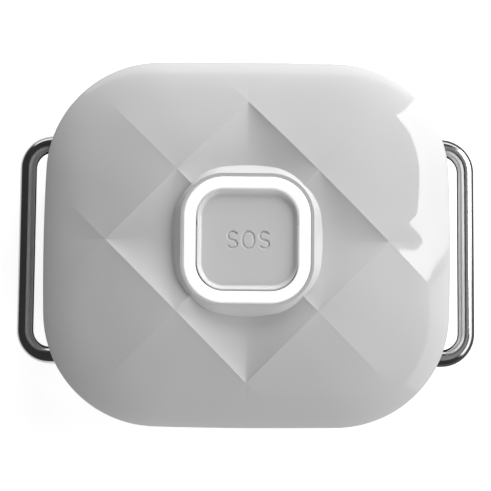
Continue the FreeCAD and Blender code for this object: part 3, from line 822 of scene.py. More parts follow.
    @classmethod
    def copied_node(cls, name: str, node: str, degrees: float) -> bpy.types.Object:
        """Copies a CAD node, merges the copy and shades it smooth.

        Args:
            name: The copy's name.
            node: The node's name.
            degrees: The angle up to which it is smooth.

        Returns:
            The copy, with its own mesh.
        """
        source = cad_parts[node]
        piece = bpy.data.objects.new(name, source.data.copy())
        piece.data.materials.clear()
        bpy.context.scene.collection.objects.link(piece)
        cls.focus(piece)
        bpy.ops.object.mode_set(mode="EDIT")
        bpy.ops.mesh.select_all(action="SELECT")
        bpy.ops.mesh.remove_doubles(threshold=SAME)
        bpy.ops.object.mode_set(mode="OBJECT")
        cls.smooth(piece, degrees)
        cls.apply(piece, "WEIGHTED_NORMAL", keep_sharp=True, weight=60)
        return piece


def dress(piece: bpy.types.Object, finish: Palette, slot: str, body: str, node: str) -> None:
    """Gives a piece its finish and its body, and hides the CAD node that it stands for.

    Args:
        piece: The piece.
        finish: Its finish.
        slot: Not used.
        body: The CAD body that it moves with.
        node: The CAD node that it replaces.
    """
    if not piece.data.materials:
        piece.data.materials.append(finish.value.build())
    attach(piece, body)
    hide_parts(node)
    LOG.info("%s: %d faces, rides on %s", piece.name, len(piece.data.polygons), body)


# The housing


@dataclass
class Outline:
    """Plan outline of the housing: four long flat arcs and four round corners."""

    half_width: float = 22.25
    half_height: float = 20.15
    side_radius: float = 234.0
    end_radius: float = 472.0
    corner_radius: float = 12.5
    side: Row = field(init=False)
    end: Row = field(init=False)
    corner: Row = field(init=False)

    def __post_init__(self) -> None:
        """Finds the centres of the arcs."""
        self.side = np.array([self.half_width - self.side_radius, 0.0])
        self.end = np.array([0.0, self.half_height - self.end_radius])
        reach = self.side_radius - self.corner_radius
        other = self.end_radius - self.corner_radius
        span = float(np.hypot(*(self.end - self.side)))
        along = (reach ** 2 - other ** 2 + span ** 2) / (2 * span)
        across = math.sqrt(reach ** 2 - along ** 2)
        unit = (self.end - self.side) / span
        self.corner = self.side + unit * along + np.array([-unit[1], unit[0]]) * across

    def arc(self, x: Row, y: Row) -> tuple[Row, Row, Row]:
        """Arc that a direction meets, in the first quarter.

        Args:
            x: Distances from the middle across.
            y: Distances from the middle up.

        Returns:
            The arc's centre across and up, and its radius.
        """
        reach = np.hypot(x, y) + SLIGHT
        c, s = np.abs(x) / reach, np.abs(y) / reach
        side_unit = (self.corner - self.side) / np.hypot(*(self.corner - self.side))
        end_unit = (self.corner - self.end) / np.hypot(*(self.corner - self.end))
        side_point = self.side + side_unit * self.side_radius
        end_point = self.end + end_unit * self.end_radius
        on_side = s * side_point[0] <= c * side_point[1]
        on_end = ~on_side & (s * end_point[0] >= c * end_point[1])
        centre_x = np.where(on_side, self.side[0], np.where(on_end, self.end[0], self.corner[0]))
        centre_y = np.where(on_side, self.side[1], np.where(on_end, self.end[1], self.corner[1]))
        radius = np.where(on_side, self.side_radius,
                          np.where(on_end, self.end_radius, self.corner_radius))
        return centre_x, centre_y, radius

    def reach(self, x: Row, y: Row) -> Row:
        """Distance from the middle to the outline, towards each point.

        Args:
            x: The points' distances from the middle across.
            y: Their distances from the middle up.

        Returns:
            The distances to the outline.
        """
        centre_x, centre_y, radius = self.arc(x, y)
        distance = np.hypot(x, y) + SLIGHT
        c, s = np.abs(x) / distance, np.abs(y) / distance
        along = c * centre_x + s * centre_y
        across = c * centre_y - s * centre_x
        return along + np.sqrt(radius ** 2 - across ** 2)

    def inset(self, points: Row, distance: float) -> Row:
        """Points of the outline, moved inwards.

        Args:
            points: Points on the outline, one per row.
            distance: How far they move.

        Returns:
            The moved points.
        """
        x, y = points[:, 0], points[:, 1]
        centre_x, centre_y, radius = self.arc(x, y)
        share = (radius - distance) / radius
        new_x = (centre_x + (np.abs(x) - centre_x) * share) * np.sign(x)
        new_y = (centre_y + (np.abs(y) - centre_y) * share) * np.sign(y)
        return np.stack([new_x, new_y], 1)


@dataclass
class Crown:
    """Height of the faceted front: a lens-like dome with ridges on a turned lattice."""

    outline: Outline
    rim: float = 11.05
    top: float = 14.72
    power: float = 2.6
    rim_power: float = 1.3
    pitch: float = 7.67
    valley: float = 0.97
    near_ring: float = 1.1
    slope: float = 0.085
    full_until: float = 0.70
    gone_at: float = 0.93
    hollow: float = 1.6
    blend_power: float = 3.0
    hollow_gain: float = 0.5
    hollow_far: float = 11.0
    hollow_blend: float = 3.0
    corner_drop: float = 0.33
    corner_reach: float = 1.9

    def dome(self, x: Row, y: Row) -> Row:
        """Height of the smooth dome, which the ridges follow."""
        share = np.minimum(np.hypot(x, y) / self.outline.reach(x, y), 1.0)
        return self.rim + (self.top - self.rim) * (1 - share ** self.power) ** (1 / self.rim_power)

    def outer(self, x: Row, y: Row) -> Row:
        """Height outside the ring of facets, with the shallow dishes that fade to the rim.

        Args:
            x: The points' distances from the middle across.
            y: Their distances from the middle up.

        Returns:
            The heights.
        """
        across = np.abs(np.abs(x) - np.abs(y)) * math.sqrt(0.5)
        beyond = (np.abs(x) + np.abs(y) - 2 * self.pitch) * math.sqrt(0.5)
        cell = self.pitch * math.sqrt(2)
        inner = 1 / (1 / np.maximum(beyond, LEAST) + 1 / np.maximum(across, LEAST)
                     + 1 / np.maximum(cell - across, LEAST))
        dish = np.where(across < cell, inner, np.maximum(across - cell, 0))
        share = np.hypot(x, y) / self.outline.reach(x, y)
        t = np.clip((self.gone_at - share) / (self.gone_at - self.full_until), 0, 1)
        return self.dome(x, y) - self.slope * dish * t * t * (3 - 2 * t)

    def facet(self, x: Row, y: Row) -> Row:
        """Height of the four inner scoops, hollow from the valley on each axis to the ridges.

        Args:
            x: The points' distances from the middle across.
            y: Their distances from the middle up.

        Returns:
            The heights.
        """
        main, side = np.maximum(np.abs(x), np.abs(y)), np.minimum(np.abs(x), np.abs(y))
        turned = np.abs(y) > np.abs(x)

        def dome(along: Row, across: Row) -> Row:
            """Height of the smooth dome, with the nearer axis first."""
            return self.dome(np.where(turned, across, along), np.where(turned, along, across))

        zero = np.zeros_like(main)
        near = self.near_ring * self.pitch
        low = dome(zero + near, zero) - self.valley
        high = dome(zero + 2 * self.pitch, zero)
        valley = low + (high - low) * (main - near) / (2 * self.pitch - near)
        outer = self.edge_share(side, 2 * self.pitch - main)
        inner = self.edge_share(side, main)
        share = 1 - (1 - outer) * (1 - inner) / (1 - outer * inner + SLIGHT)
        to_outer, to_inner = outer * (1 - inner), inner * (1 - outer)
        weight = to_outer / (to_outer + to_inner + FAINT)
        sunk = self.corner_drop * np.clip((self.pitch - main) / self.corner_reach, 0, 1)
        edge = (weight * dome(main, 2 * self.pitch - main)
                + (1 - weight) * (dome(main, main) - sunk))
        near_collar = np.clip((self.hollow_far - main) / self.hollow_blend, 0, 1)
        hollow = self.hollow + self.hollow_gain * near_collar
        return valley + (edge - valley) * share ** (hollow / self.blend_power)

    def edge_share(self, side: Row, width: Row) -> Row:
        """How near a point lies to a ridge, raised so that two ridges blend smoothly."""
        return np.clip(side / np.maximum(width, LEAST), 0, 1) ** self.blend_power


@dataclass
class FrontCover:
    """Faceted front cover with the flared collar round the light ring."""

    outline: Outline
    crown: Crown
    lip_height: float = 14.6
    lip_half: float = 7.2
    lip_corner: float = 4.72
    lip_wall: float = 0.32
    flare_slope: float = 1.2
    flare_width: float = 0.62
    foot_width: float = 1.05
    lip_round: float = 0.04
    lip_shade_band: float = 0.03
    lip_shade_facing: float = 0.3
    seat_height: float = 13.3
    ledge_inset: float = 1.14
    ceiling: float = 12.05
    ceiling_inset: float = 6.2
    parting: float = 10.55
    parting_chamfer: float = 0.06
    tongue_outer: float = 0.95
    tongue_inner: float = 1.65
    tongue_bottom: float = 9.55
    steps_across: int = 26
    steps_facet: int = 30
    steps_rim: int = 36
    steps_wedge: int = 14
    steps_flare: int = 12
    smooth_degrees: float = 28.0
    halvings: int = 50
    farthest: float = 40.0

    def build(self) -> bpy.types.Object:
        """Drapes a grid on each facet and dish, joins them and closes the shell below.

        Returns:
            The cover.
        """
        pieces = []
        for turned in (False, True):
            for index, grid in enumerate(self.patches(turned)):
                for hand_x in (1, -1):
                    for hand_y in (1, -1):
                        points = grid[..., [1, 0, 2]] if turned else grid
                        points = points * np.array([hand_x, hand_y, 1])
                        pieces.append(self.drape(f"patch_{index}", points))
        cover = Bench.join(pieces)
        cover.name = cover.data.name = "front_cover_shell"
        bpy.ops.object.mode_set(mode="EDIT")
        bpy.ops.mesh.select_all(action="SELECT")
        bpy.ops.mesh.remove_doubles(threshold=2 * SAME)
        Bench.pick(cover, "EDGE", lambda edge: edge.is_boundary and all(
            abs(vertex.co.z - self.ceiling * MM) < SAME for vertex in edge.verts))
        bpy.ops.mesh.bridge_edge_loops()
        Bench.leave()
        Bench.smooth(cover, self.smooth_degrees)
        self.finish(cover)
        return cover

    def drape(self, name: str, grid: Row) -> bpy.types.Object:
        """Adds a grid and lays it on a patch of the cover.

        Args:
            name: The patch's name.
            grid: Rows of points, in millimetres.

        Returns:
            The patch.
        """
        rows, columns = grid.shape[:2]
        Bench.clear()
        bpy.ops.mesh.primitive_grid_add(x_subdivisions=columns - 1, y_subdivisions=rows - 1,
                                        size=1.0)
        patch = Bench.named(name)
        patch.data.vertices.foreach_set("co", (grid.reshape(-1, 3) * MM).ravel())
        patch.data.update()
        return patch

    def patches(self, turned: bool) -> list[Row]:
        """Grids of one eighth of the cover, with the main axis first.

        Args:
            turned: If the main axis is the one that runs up.

        Returns:
            The grids of points.
        """
        pitch = self.crown.pitch
        across = self.eased(self.steps_across)
        ridge = np.stack([2 * pitch - across * pitch, across * pitch], 1)
        foot, flare = self.collar(across, turned)
        facet = self.spread(foot, ridge, self.eased(self.steps_facet))
        dish_rim = np.array([self.on_rim(start, (1.0, 1.0), turned) for start in ridge])
        vertex = np.array([2 * pitch, 0.0])
        corner = math.atan2(dish_rim[0][1], dish_rim[0][0])
        angles = corner * (1 - self.eased(self.steps_wedge))
        unit = np.stack([np.cos(angles), np.sin(angles)], 1)
        wedge_rim = unit * self.reach(unit, turned)[:, None]
        rim_shares = self.eased(self.steps_rim)
        dish = self.spread(ridge, dish_rim, rim_shares)
        wedge = self.spread(np.repeat(vertex[None], len(unit), 0), wedge_rim, rim_shares)
        rim = np.concatenate([wedge_rim[::-1], dish_rim[1:]])
        return [self.lifted(facet, turned, True), self.lifted(dish, turned, False),
                self.lifted(wedge, turned, False), flare, self.skirt(rim, turned)]

    @staticmethod
    def eased(steps: int) -> Row:
        """Shares from 0 to 1 that lie close at both ends."""
        t = np.linspace(0, 1, steps + 1)
        return t * t * (3 - 2 * t)

    @staticmethod
    def spread(start: Row, end: Row, shares: Row) -> Row:
        """Rows of points on straight lines in plan between two rows of points."""
        return start[None] + (end - start)[None] * shares[:, None, None]

    @staticmethod
    def swapped(points: Row, turned: bool) -> tuple[Row, Row]:
        """The X and Y of points that name the main axis first."""
        return (points[..., 1], points[..., 0]) if turned else (points[..., 0], points[..., 1])

    def reach(self, points: Row, turned: bool) -> Row:
        """Distance from the middle to the outline, towards each point."""
        return self.outline.reach(*self.swapped(points, turned))

    def on_rim(self, start: Row, step: tuple[float, float], turned: bool) -> Row:
        """Point where a line from a start meets the outline.

        Args:
            start: The line's start.
            step: Its direction.
            turned: If the main axis is the one that runs up.

        Returns:
            The point, found by halving.
        """
        low, high = 0.0, self.farthest
        for _ in range(self.halvings):
            middle = (low + high) / 2
            point = start + np.array(step) * middle
            if np.hypot(*point) < float(self.reach(point, turned)):
                low = middle
            else:
                high = middle
        return start + np.array(step) * low

    def lifted(self, grid: Row, turned: bool, inner: bool) -> Row:
        """Adds the heights of the facets, or of the dishes outside them.

        Args:
            grid: Points in plan, row by row from the middle outwards.
            turned: If the main axis is the one that runs up.
            inner: If the grid lies on a facet.

        Returns:
            The grid's points in space.
        """
        law = self.crown.facet if inner else self.crown.outer
        height = law(*self.swapped(grid, turned))
        if not inner:
            height[-1] = self.crown.rim
        return np.concatenate([grid, height[..., None]], 2)

    def collar(self, across: Row, turned: bool) -> tuple[Row, Row]:
        """Collar round the light ring: flare, lip, seat, ledge and well.

        Args:
            across: Shares from the main axis to the diagonal.
            turned: If the main axis is the one that runs up.

        Returns:
            Where the flare meets the facets, in plan, and the collar's grid.
        """
        straight = self.lip_half - self.lip_corner
        quarter = self.lip_corner * math.pi / 4
        place = across * (straight + quarter)
        bend = np.maximum(place - straight, 0) / self.lip_corner
        along = np.minimum(place, straight)
        normal = np.stack([np.cos(bend), np.sin(bend)], 1)
        lip = np.stack([np.full_like(along, straight), along], 1) + normal * self.lip_corner
        low = np.zeros_like(bend)
        high = np.full_like(bend, self.flare_width + self.foot_width)
        for _ in range(self.halvings):
            out = (low + high) / 2
            spot = lip + normal * out[:, None]
            above = self.flare(out) > self.crown.facet(*self.swapped(spot, turned))
            low, high = np.where(above, out, low), np.where(above, high, out)
        foot = lip + normal * low[:, None]
        rows = []
        for share in np.linspace(1, 0, self.steps_flare + 1):
            spot = lip + normal * (low * share)[:, None]
            rows.append(np.concatenate([spot, self.flare(low * share)[:, None]], 1))
        rows[0][:, 2] = self.crown.facet(*self.swapped(foot, turned))
        profile = (
            (self.lip_round, self.lip_height),
            (self.lip_wall - self.lip_round, self.lip_height),
            (self.lip_wall, self.lip_height - self.lip_round),
            (self.lip_wall, self.seat_height),
            (self.ledge_inset, self.seat_height),
            (self.ledge_inset, self.ceiling),
        )
        for inset, height in profile:
            spot = lip - normal * inset
            rows.append(np.concatenate([spot, np.full((len(spot), 1), height)], 1))
        return foot, np.array(rows)

    def flare(self, out: Row) -> Row:
        """Height of the collar: a straight flare from the lip, eased into the facets.

        Args:
            out: Distances outwards from the lip.

        Returns:
            The heights.
        """
        past = np.maximum(out - self.flare_width, 0)
        eased = np.minimum(out, self.flare_width) + past - past ** 2 / (2 * self.foot_width)
        return self.lip_height - self.flare_slope * eased

    def skirt(self, rim: Row, turned: bool) -> Row:
        """Skirt, parting face, tongue and inside of the cover, below the rim.

        Args:
            rim: Points on the rim, in plan.
            turned: If the main axis is the one that runs up.

        Returns:
            The grid of points.
        """
        flat = np.stack(self.swapped(rim, turned), 1)
        rows = []
        profile = (
            (0.0, self.crown.rim),
            (0.0, self.parting + self.parting_chamfer),
            (self.parting_chamfer, self.parting),
            (self.tongue_outer, self.parting),
            (self.tongue_outer, self.tongue_bottom),
            (self.tongue_inner, self.tongue_bottom),
            (self.tongue_inner, self.parting),
            (self.ceiling_inset, self.ceiling),
        )
        for inset, height in profile:
            moved = self.outline.inset(flat, inset)
            moved = moved[:, ::-1] if turned else moved
            rows.append(np.concatenate([moved, np.full((len(moved), 1), height)], 1))
        return np.array(rows)

    def finish(self, cover: bpy.types.Object) -> None:
        """Paints the lip's flat top grey as painted shade, and gives the rest the housing's finish.

        Args:
            cover: The finished mesh.
        """
        cover.data.materials.append(Palette.HOUSING.value.build())
        cover.data.materials.append(Palette.LIP.value.build())
        for face in cover.data.polygons:
            # Painted shade: the lip's up-facing top gets the grey material
            on_top = face.center.z > (self.lip_height - self.lip_shade_band) * MM
            if on_top and abs(face.normal.z) > self.lip_shade_facing:
                face.material_index = 1
        dress(cover, Palette.HOUSING, "cover_white", "housing", "front_cover")


@dataclass
class RearCover:
    """Rear cover: a smooth-shaded copy of the CAD piece."""

    smooth_degrees: float = 13.0

    def build(self) -> bpy.types.Object:
        """Copies the CAD piece and shades it.

        Returns:
            The cover.
        """
        cover = Bench.copied_node("rear_cover_shell", "rear_cover", self.smooth_degrees)
        dress(cover, Palette.HOUSING, "cover_white", "housing", "rear_cover")
        return cover


# The light ring and the button


@dataclass
class LightRing:
    """Diffuser ring in the lip, with its guide and four legs down to the lamps."""

    half: float = 6.82
    corner: float = 4.34
    width: float = 1.24
    top: float = 14.6
    seat: float = 13.3
    guide_bottom: float = 11.55
    guide_step: float = 0.82
    leg_bottom: float = 8.95
    leg_half: float = 6.5
    leg_width: float = 4.0
    leg_gap: float = 0.05
    edge: float = 0.09
    sharp_radians: float = 1.0
    smooth_degrees: float = 35.0
    corner_steps: int = 24

    def build(self) -> bpy.types.Object:
        """Extrudes a square ring, then adds its guide and legs.

        Returns:
            The ring.
        """
        ring = Bench.rounded_face("light_ring_diffuser", self.half, self.corner, self.seat,
                                  self.corner_steps)
        Bench.pick_all(ring, "FACE")
        Bench.inset(self.guide_step)
        Bench.pick(ring, "FACE", Bench.is_middle)
        Bench.inset(self.width - self.guide_step)
        Bench.pick(ring, "FACE", Bench.is_middle)
        bpy.ops.mesh.delete(type="FACE")
        Bench.pick_all(ring, "FACE")
        Bench.extrude((0, 0, self.top - self.seat))
        Bench.leave()
        Bench.pick(ring, "FACE", self.is_guide)
        Bench.extrude((0, 0, self.guide_bottom - self.seat))
        Bench.leave()
        self.round_top(ring)
        legs = [self.leg(axis, sign) for axis in (0, 1) for sign in (-1, 1)]
        ring = Bench.join([ring] + legs)
        Bench.smooth(ring, self.smooth_degrees)
        dress(ring, Palette.DIFFUSER, "diffuser", "housing", "light_ring")
        return ring

    def is_guide(self, face: bmesh.types.BMFace) -> bool:
        """Says if a face is of the inner band under the ring."""
        level = abs(face.calc_center_median().z - self.seat * MM) <= SAME
        return level and all(self.inside(vertex.co) for vertex in face.verts)

    def inside(self, spot: Vector) -> bool:
        """Says if a point lies on or within the guide's outline.

        Args:
            spot: The point.

        Returns:
            True if it does.
        """
        half = (self.half - self.guide_step) * MM + SAME
        corner = (self.corner - self.guide_step) * MM
        across = max(abs(spot.x) - half + corner, 0.0)
        up = max(abs(spot.y) - half + corner, 0.0)
        in_corner = math.hypot(across, up) <= corner + 2 * SAME
        return in_corner and max(abs(spot.x), abs(spot.y)) <= half

    def round_top(self, ring: bpy.types.Object) -> None:
        """Rounds the two edges of the ring's top.

        Args:
            ring: The ring.
        """
        Bench.pick(ring, "EDGE", lambda edge: all(
            abs(vertex.co.z - self.top * MM) < SAME for vertex in edge.verts)
            and edge.calc_face_angle(0.0) > self.sharp_radians)
        bpy.ops.mesh.bevel(offset=self.edge * MM, segments=3, profile=0.5)
        Bench.leave()

    def leg(self, axis: int, sign: int) -> bpy.types.Object:
        """Makes one leg of the light guide.

        Args:
            axis: 0 or 1, the axis that it stands on.
            sign: The side of the middle.

        Returns:
            The leg.
        """
        inner = self.half - self.width
        near, far = sorted((sign * inner, sign * self.leg_half))
        low = [-self.leg_width / 2, -self.leg_width / 2, self.leg_bottom]
        high = [self.leg_width / 2, self.leg_width / 2, self.seat - self.leg_gap]
        low[axis], high[axis] = near, far
        return Bench.box("light_leg", low, high)


@dataclass(frozen=True)
class Letter:
    """Centre line of an engraved capital, in shares of its height."""

    sign: str
    tall: float = 0.43
    ring_half: float = 0.31
    ring_bow: float = 0.88
    ring_steps: int = 40
    hook_half: float = 0.235
    hook_bow: float = 0.92
    hook_from: float = 20.0
    hook_turn: float = 250.0
    hook_steps: int = 20

    def line(self) -> list[tuple[float, float]]:
        """Points of the line: a closed ring for an O, and two hooks for an S."""
        return self.ring() if self.sign == "O" else self.hooks()

    def ring(self) -> list[tuple[float, float]]:
        """Squarish ring.

        Returns:
            Its points, all different.
        """
        angles = [2 * math.pi * i / self.ring_steps for i in range(self.ring_steps)]
        return [(self.ring_half * self.bowed(math.cos(a), self.ring_bow),
                 self.tall * self.bowed(math.sin(a), self.ring_bow)) for a in angles]

    def hooks(self) -> list[tuple[float, float]]:
        """Two hooks that meet in the middle, the lower one turned half round.

        Returns:
            Their points, from the upper end to the lower.
        """
        bowl = self.tall / 2
        angles = [math.radians(self.hook_from + self.hook_turn * i / self.hook_steps)
                  for i in range(self.hook_steps)]
        upper = [(self.hook_half * self.bowed(math.cos(a), self.hook_bow),
                  bowl + bowl * math.sin(a)) for a in angles]
        return upper + [(0.0, 0.0)] + [(-x, -y) for x, y in reversed(upper)]

    @staticmethod
    def bowed(value: float, power: float) -> float:
        """Pushes a circle towards a squarer bow."""
        return math.copysign(abs(value) ** power, value)


@dataclass
class CallButton:
    """Dished square button with corner lugs, a seal groove and engraved letters."""

    half: float = 5.42
    corner: float = 2.94
    top: float = 14.48
    bottom: float = 11.0
    ceiling: float = 13.2
    wall: float = 1.1
    dish_edge: float = 0.06
    dish_width: float = 0.58
    dish_depth: float = 0.4
    dish_steps: int = 10
    dish_law: float = 1.9
    level: float = 0.9
    corner_steps: int = 20
    groove: tuple[float, float, float] = (12.1, 12.8, 0.4)
    tool_margin: float = 0.4
    lug_half: float = 6.3
    lug_corner: float = 3.92
    lug: tuple[float, float] = (10.98, 11.43)
    lug_gap: float = 2.3
    lug_reach_in: float = 1.2
    lug_tool_margin: float = 1.0
    lug_steps: int = 12
    stem_radius: float = 1.1
    stem_bottom: float = 10.3
    stem_overlap: float = 0.05
    stem_sides: int = 32
    letters: str = "SOS"
    letter_places: tuple[float, ...] = (-1.6, 0.11, 1.83)
    letter_height: float = 2.05
    stroke: float = 0.17
    stroke_rise: float = 0.03
    stroke_steps: int = 3
    closing: float = 0.2
    smooth_degrees: float = 32.0

    def build(self) -> bpy.types.Object:
        """Presses the dish, cuts the groove and letters, and adds the lugs.

        Returns:
            The button.
        """
        button = Bench.rounded_face("call_button_cap", self.half, self.corner, self.top,
                                    self.corner_steps)
        Bench.pick_all(button, "FACE")
        Bench.extrude((0, 0, self.bottom - self.top))
        Bench.leave()
        self.press_dish(button)
        self.hollow(button)
        for tool in self.letter_tools():
            Bench.cut(button, tool)
        button = Bench.join([button, self.lugs(), self.stem()])
        Bench.smooth(button, self.smooth_degrees)
        dress(button, Palette.BUTTON, "button_white", "button", "call_button")
        return button

    def press_dish(self, button: bpy.types.Object) -> None:
        """Insets the top face again and again, down a slope that flattens towards its foot.

        Args:
            button: The button.
        """
        Bench.pick(button, "FACE", lambda face: face.normal.z > self.level)
        Bench.inset(self.dish_edge)
        width, before = self.dish_width - self.dish_edge, 0.0
        for step in range(1, self.dish_steps + 1):
            share = step / self.dish_steps
            depth = self.dish_depth * (1 - (1 - share) ** self.dish_law)
            Bench.inset(width / self.dish_steps, depth - before)
            before = depth
        Bench.leave()

    def hollow(self, button: bpy.types.Object) -> None:
        """Hollows the button from below, and cuts the groove for its seal.

        Args:
            button: The button.
        """
        Bench.pick(button, "FACE", lambda face: face.normal.z < -self.level)
        Bench.inset(self.wall)
        Bench.extrude((0, 0, self.ceiling - self.bottom))
        Bench.leave()
        low, high, depth = self.groove
        band = Bench.rounded_face("groove_tool", self.half + self.tool_margin,
                                  self.corner + self.tool_margin, low, self.corner_steps)
        Bench.pick_all(band, "FACE")
        Bench.inset(self.tool_margin + depth)
        Bench.pick(band, "FACE", Bench.is_middle)
        bpy.ops.mesh.delete(type="FACE")
        Bench.pick_all(band, "FACE")
        Bench.extrude((0, 0, high - low))
        Bench.leave()
        Bench.cut(button, band)

    def lugs(self) -> bpy.types.Object:
        """Cuts a plate into four corner lugs that hold the button under the ring.

        Returns:
            The lugs, as one piece.
        """
        low, high = self.lug
        plate = Bench.rounded_face("lug_plate", self.lug_half, self.lug_corner, low,
                                   self.lug_steps)
        Bench.pick_all(plate, "FACE")
        Bench.extrude((0, 0, high - low))
        Bench.leave()
        margin, gap, core = self.lug_tool_margin, self.lug_gap, self.half - self.lug_reach_in
        reach = self.lug_half + margin
        for half_x, half_y in ((reach, gap), (gap, reach), (core, core)):
            Bench.cut(plate, Bench.box("lug_tool", (-half_x, -half_y, low - margin),
                                       (half_x, half_y, high + margin)))
        return plate

    def stem(self) -> bpy.types.Object:
        """Adds the stem that presses the switch.

        Returns:
            The stem.
        """
        top = self.ceiling + self.stem_overlap
        Bench.clear()
        bpy.ops.mesh.primitive_cylinder_add(
            vertices=self.stem_sides, radius=self.stem_radius * MM,
            depth=(top - self.stem_bottom) * MM,
            location=(0, 0, (top + self.stem_bottom) / 2 * MM))
        stem = Bench.named("button_stem")
        Bench.settle(stem)
        return stem

    def letter_tools(self) -> list[bpy.types.Object]:
        """Round-bottomed tools that engrave the letters."""
        return [self.tube(Letter(letter).line(), place)
                for letter, place in zip(self.letters, self.letter_places)]

    def tube(self, line: Sequence[tuple[float, float]], place: float) -> bpy.types.Object:
        """Runs a small tube along a letter's line.

        Args:
            line: The line's points, in shares of the letter's height.
            place: The letter's middle across.

        Returns:
            The tube, as one closed mesh.
        """
        Bench.clear()
        bpy.ops.curve.primitive_bezier_curve_add()
        curve = bpy.context.active_object
        curve.data.splines.clear()
        spline = curve.data.splines.new("POLY")
        spline.points.add(len(line) - 1)
        floor = self.top - self.dish_depth + self.stroke_rise
        for point, (x, y) in zip(spline.points, line):
            point.co = ((place + x * self.letter_height) * MM,
                        y * self.letter_height * MM, floor * MM, 1.0)
        spline.use_cyclic_u = math.dist(line[0], line[-1]) < self.closing
        curve.data.bevel_depth = self.stroke * MM
        curve.data.bevel_resolution = self.stroke_steps
        curve.data.use_fill_caps = True
        Bench.focus(curve)
        bpy.ops.object.convert(target="MESH")
        tool = Bench.named("letter_tool")
        Bench.settle(tool)
        Bench.pick_all(tool, "FACE")
        Bench.leave()
        return tool


# The strap loops


@dataclass
class StrapLoop:
    """Loop of round wire, from pin to pin round the strap's bar."""

    wire: float = 0.95
    bar_x: float = 24.95
    pivot_x: float = 17.6
    leg_y: float = 12.05
    pin_tip: float = 8.7
    bend: float = 2.85
    height: float = 3.5
    sides: int = 28
    bend_steps: int = 14
    bar_steps: int = 6
    smooth_degrees: float = 50.0

    def build(self, hand: int) -> bpy.types.Object:
        """Extrudes and spins a wire's end from the bar round to the pin.

        Args:
            hand: 1 for the right side, -1 for the left.

        Returns:
            The loop.
        """
        side = "right" if hand > 0 else "left"
        Bench.clear()
        bpy.ops.mesh.primitive_circle_add(
            vertices=self.sides, radius=self.wire * MM, fill_type="NOTHING",
            location=(self.bar_x * MM, 0, self.height * MM), rotation=(math.pi / 2, 0, 0))
        loop = Bench.named(f"strap_loop_{side}")
        Bench.settle(loop)
        Bench.pick_all(loop, "EDGE")
        straight = self.leg_y - self.bend
        for _ in range(self.bar_steps):
            Bench.extrude_edges((0, straight / self.bar_steps, 0))
        centre = ((self.bar_x - self.bend) * MM, straight * MM, self.height * MM)
        bpy.ops.mesh.spin(steps=self.bend_steps, angle=math.pi / 2, center=centre,
                          axis=(0, 0, -1))
        Bench.extrude_edges((self.pivot_x - self.bar_x + self.bend, 0, 0))
        self.turn_to_pin(loop)
        Bench.leave()
        Bench.apply(loop, "MIRROR", use_axis=(False, True, False), use_mirror_merge=True,
                    merge_threshold=SAME)
        if hand < 0:
            loop.scale.x = -1
            Bench.settle(loop)
        Bench.pick_all(loop, "FACE")
        Bench.leave()
        Bench.smooth(loop, self.smooth_degrees)
        dress(loop, Palette.WIRE, "loop_steel", f"loop_{side}", f"strap_loop_{side}")
        return loop

    def turn_to_pin(self, loop: bpy.types.Object) -> None:
        """Mitres the leg's end at the pivot, and runs the pin in to its tip.

        Args:
            loop: The half loop, in edit mode.
        """
        end = self.pivot_x * MM
        Bench.pick(loop, "VERT", lambda vertex: abs(vertex.co.x - end) < SAME)
        mesh = bmesh.from_edit_mesh(loop.data)
        for vertex in mesh.verts:
            if vertex.select:
                vertex.co.x -= vertex.co.y - self.leg_y * MM
        bmesh.update_edit_mesh(loop.data)
        bpy.ops.mesh.select_mode(type="EDGE")
        Bench.extrude_edges((0, self.pin_tip - self.leg_y, 0))
        mesh = bmesh.from_edit_mesh(loop.data)
        for vertex in mesh.verts:
            if vertex.select:
                vertex.co.y = self.pin_tip * MM
        bmesh.update_edit_mesh(loop.data)
        bpy.ops.mesh.fill()


# Small parts


@dataclass(frozen=True)
class Fitting:
    """A CAD piece that is shown as it is, in a finish."""

    node: str
    finish: Palette

    def build(self) -> bpy.types.Object:
        """Gives the CAD node its finish.

        Returns:
            The node.
        """
        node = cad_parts[self.node]
        material = self.finish.value.build()
        for slot in node.material_slots:
            slot.link = "OBJECT"
            slot.material = material
        if not node.material_slots:
            node.data.materials.append(material)
        LOG.info("%s: CAD node in %s", self.node, material.name)
        return node


@dataclass(frozen=True)
class SmoothFitting(Fitting):
    """A CAD piece that is shown as a smooth copy."""

    slot: str
    smooth_degrees: float = 25.0

    def build(self) -> bpy.types.Object:
        """Copies the CAD node and dresses the copy.

        Returns:
            The copy.
        """
        piece = Bench.copied_node(self.node + "_fine", self.node, self.smooth_degrees)
        dress(piece, self.finish, self.slot, "housing", self.node)
        return piece


FITTINGS = (
    Fitting("housing_seal", Palette.RUBBER),
    Fitting("button_seal", Palette.RUBBER),
    Fitting("switch_plunger", Palette.PLUNGER),
    Fitting("switch_body", Palette.SWITCH),
    Fitting("main_board", Palette.LAMINATE),
    Fitting("ring_leds", Palette.LAMP),
    Fitting("radio_shield", Palette.TIN),
    Fitting("processor_chip", Palette.EPOXY),
    Fitting("power_chip", Palette.EPOXY),
    Fitting("motion_sensor", Palette.EPOXY),
    Fitting("gnss_antenna", Palette.CERAMIC),
    Fitting("cellular_antenna", Palette.AMBER),
    Fitting("antenna_springs", Palette.GOLD),
    Fitting("sim_holder", Palette.TIN),
    Fitting("sim_card", Palette.CARD),
    Fitting("vibration_motor", Palette.TIN),
    Fitting("battery", Palette.FOIL),
    Fitting("battery_pad", Palette.FOAM),
    Fitting("battery_flex", Palette.AMBER),
    Fitting("inner_frame", Palette.FRAME),
    SmoothFitting("housing_screws", Palette.SCREW, "screw_steel"),
    SmoothFitting("charging_contacts", Palette.GOLD, "contact_plating"),
    Fitting("spring_pins", Palette.SCREW),
)


# Stage, light and camera

WHITE = (1.0, 1.0, 1.0)
BLACK = (0.0, 0.0, 0.0)


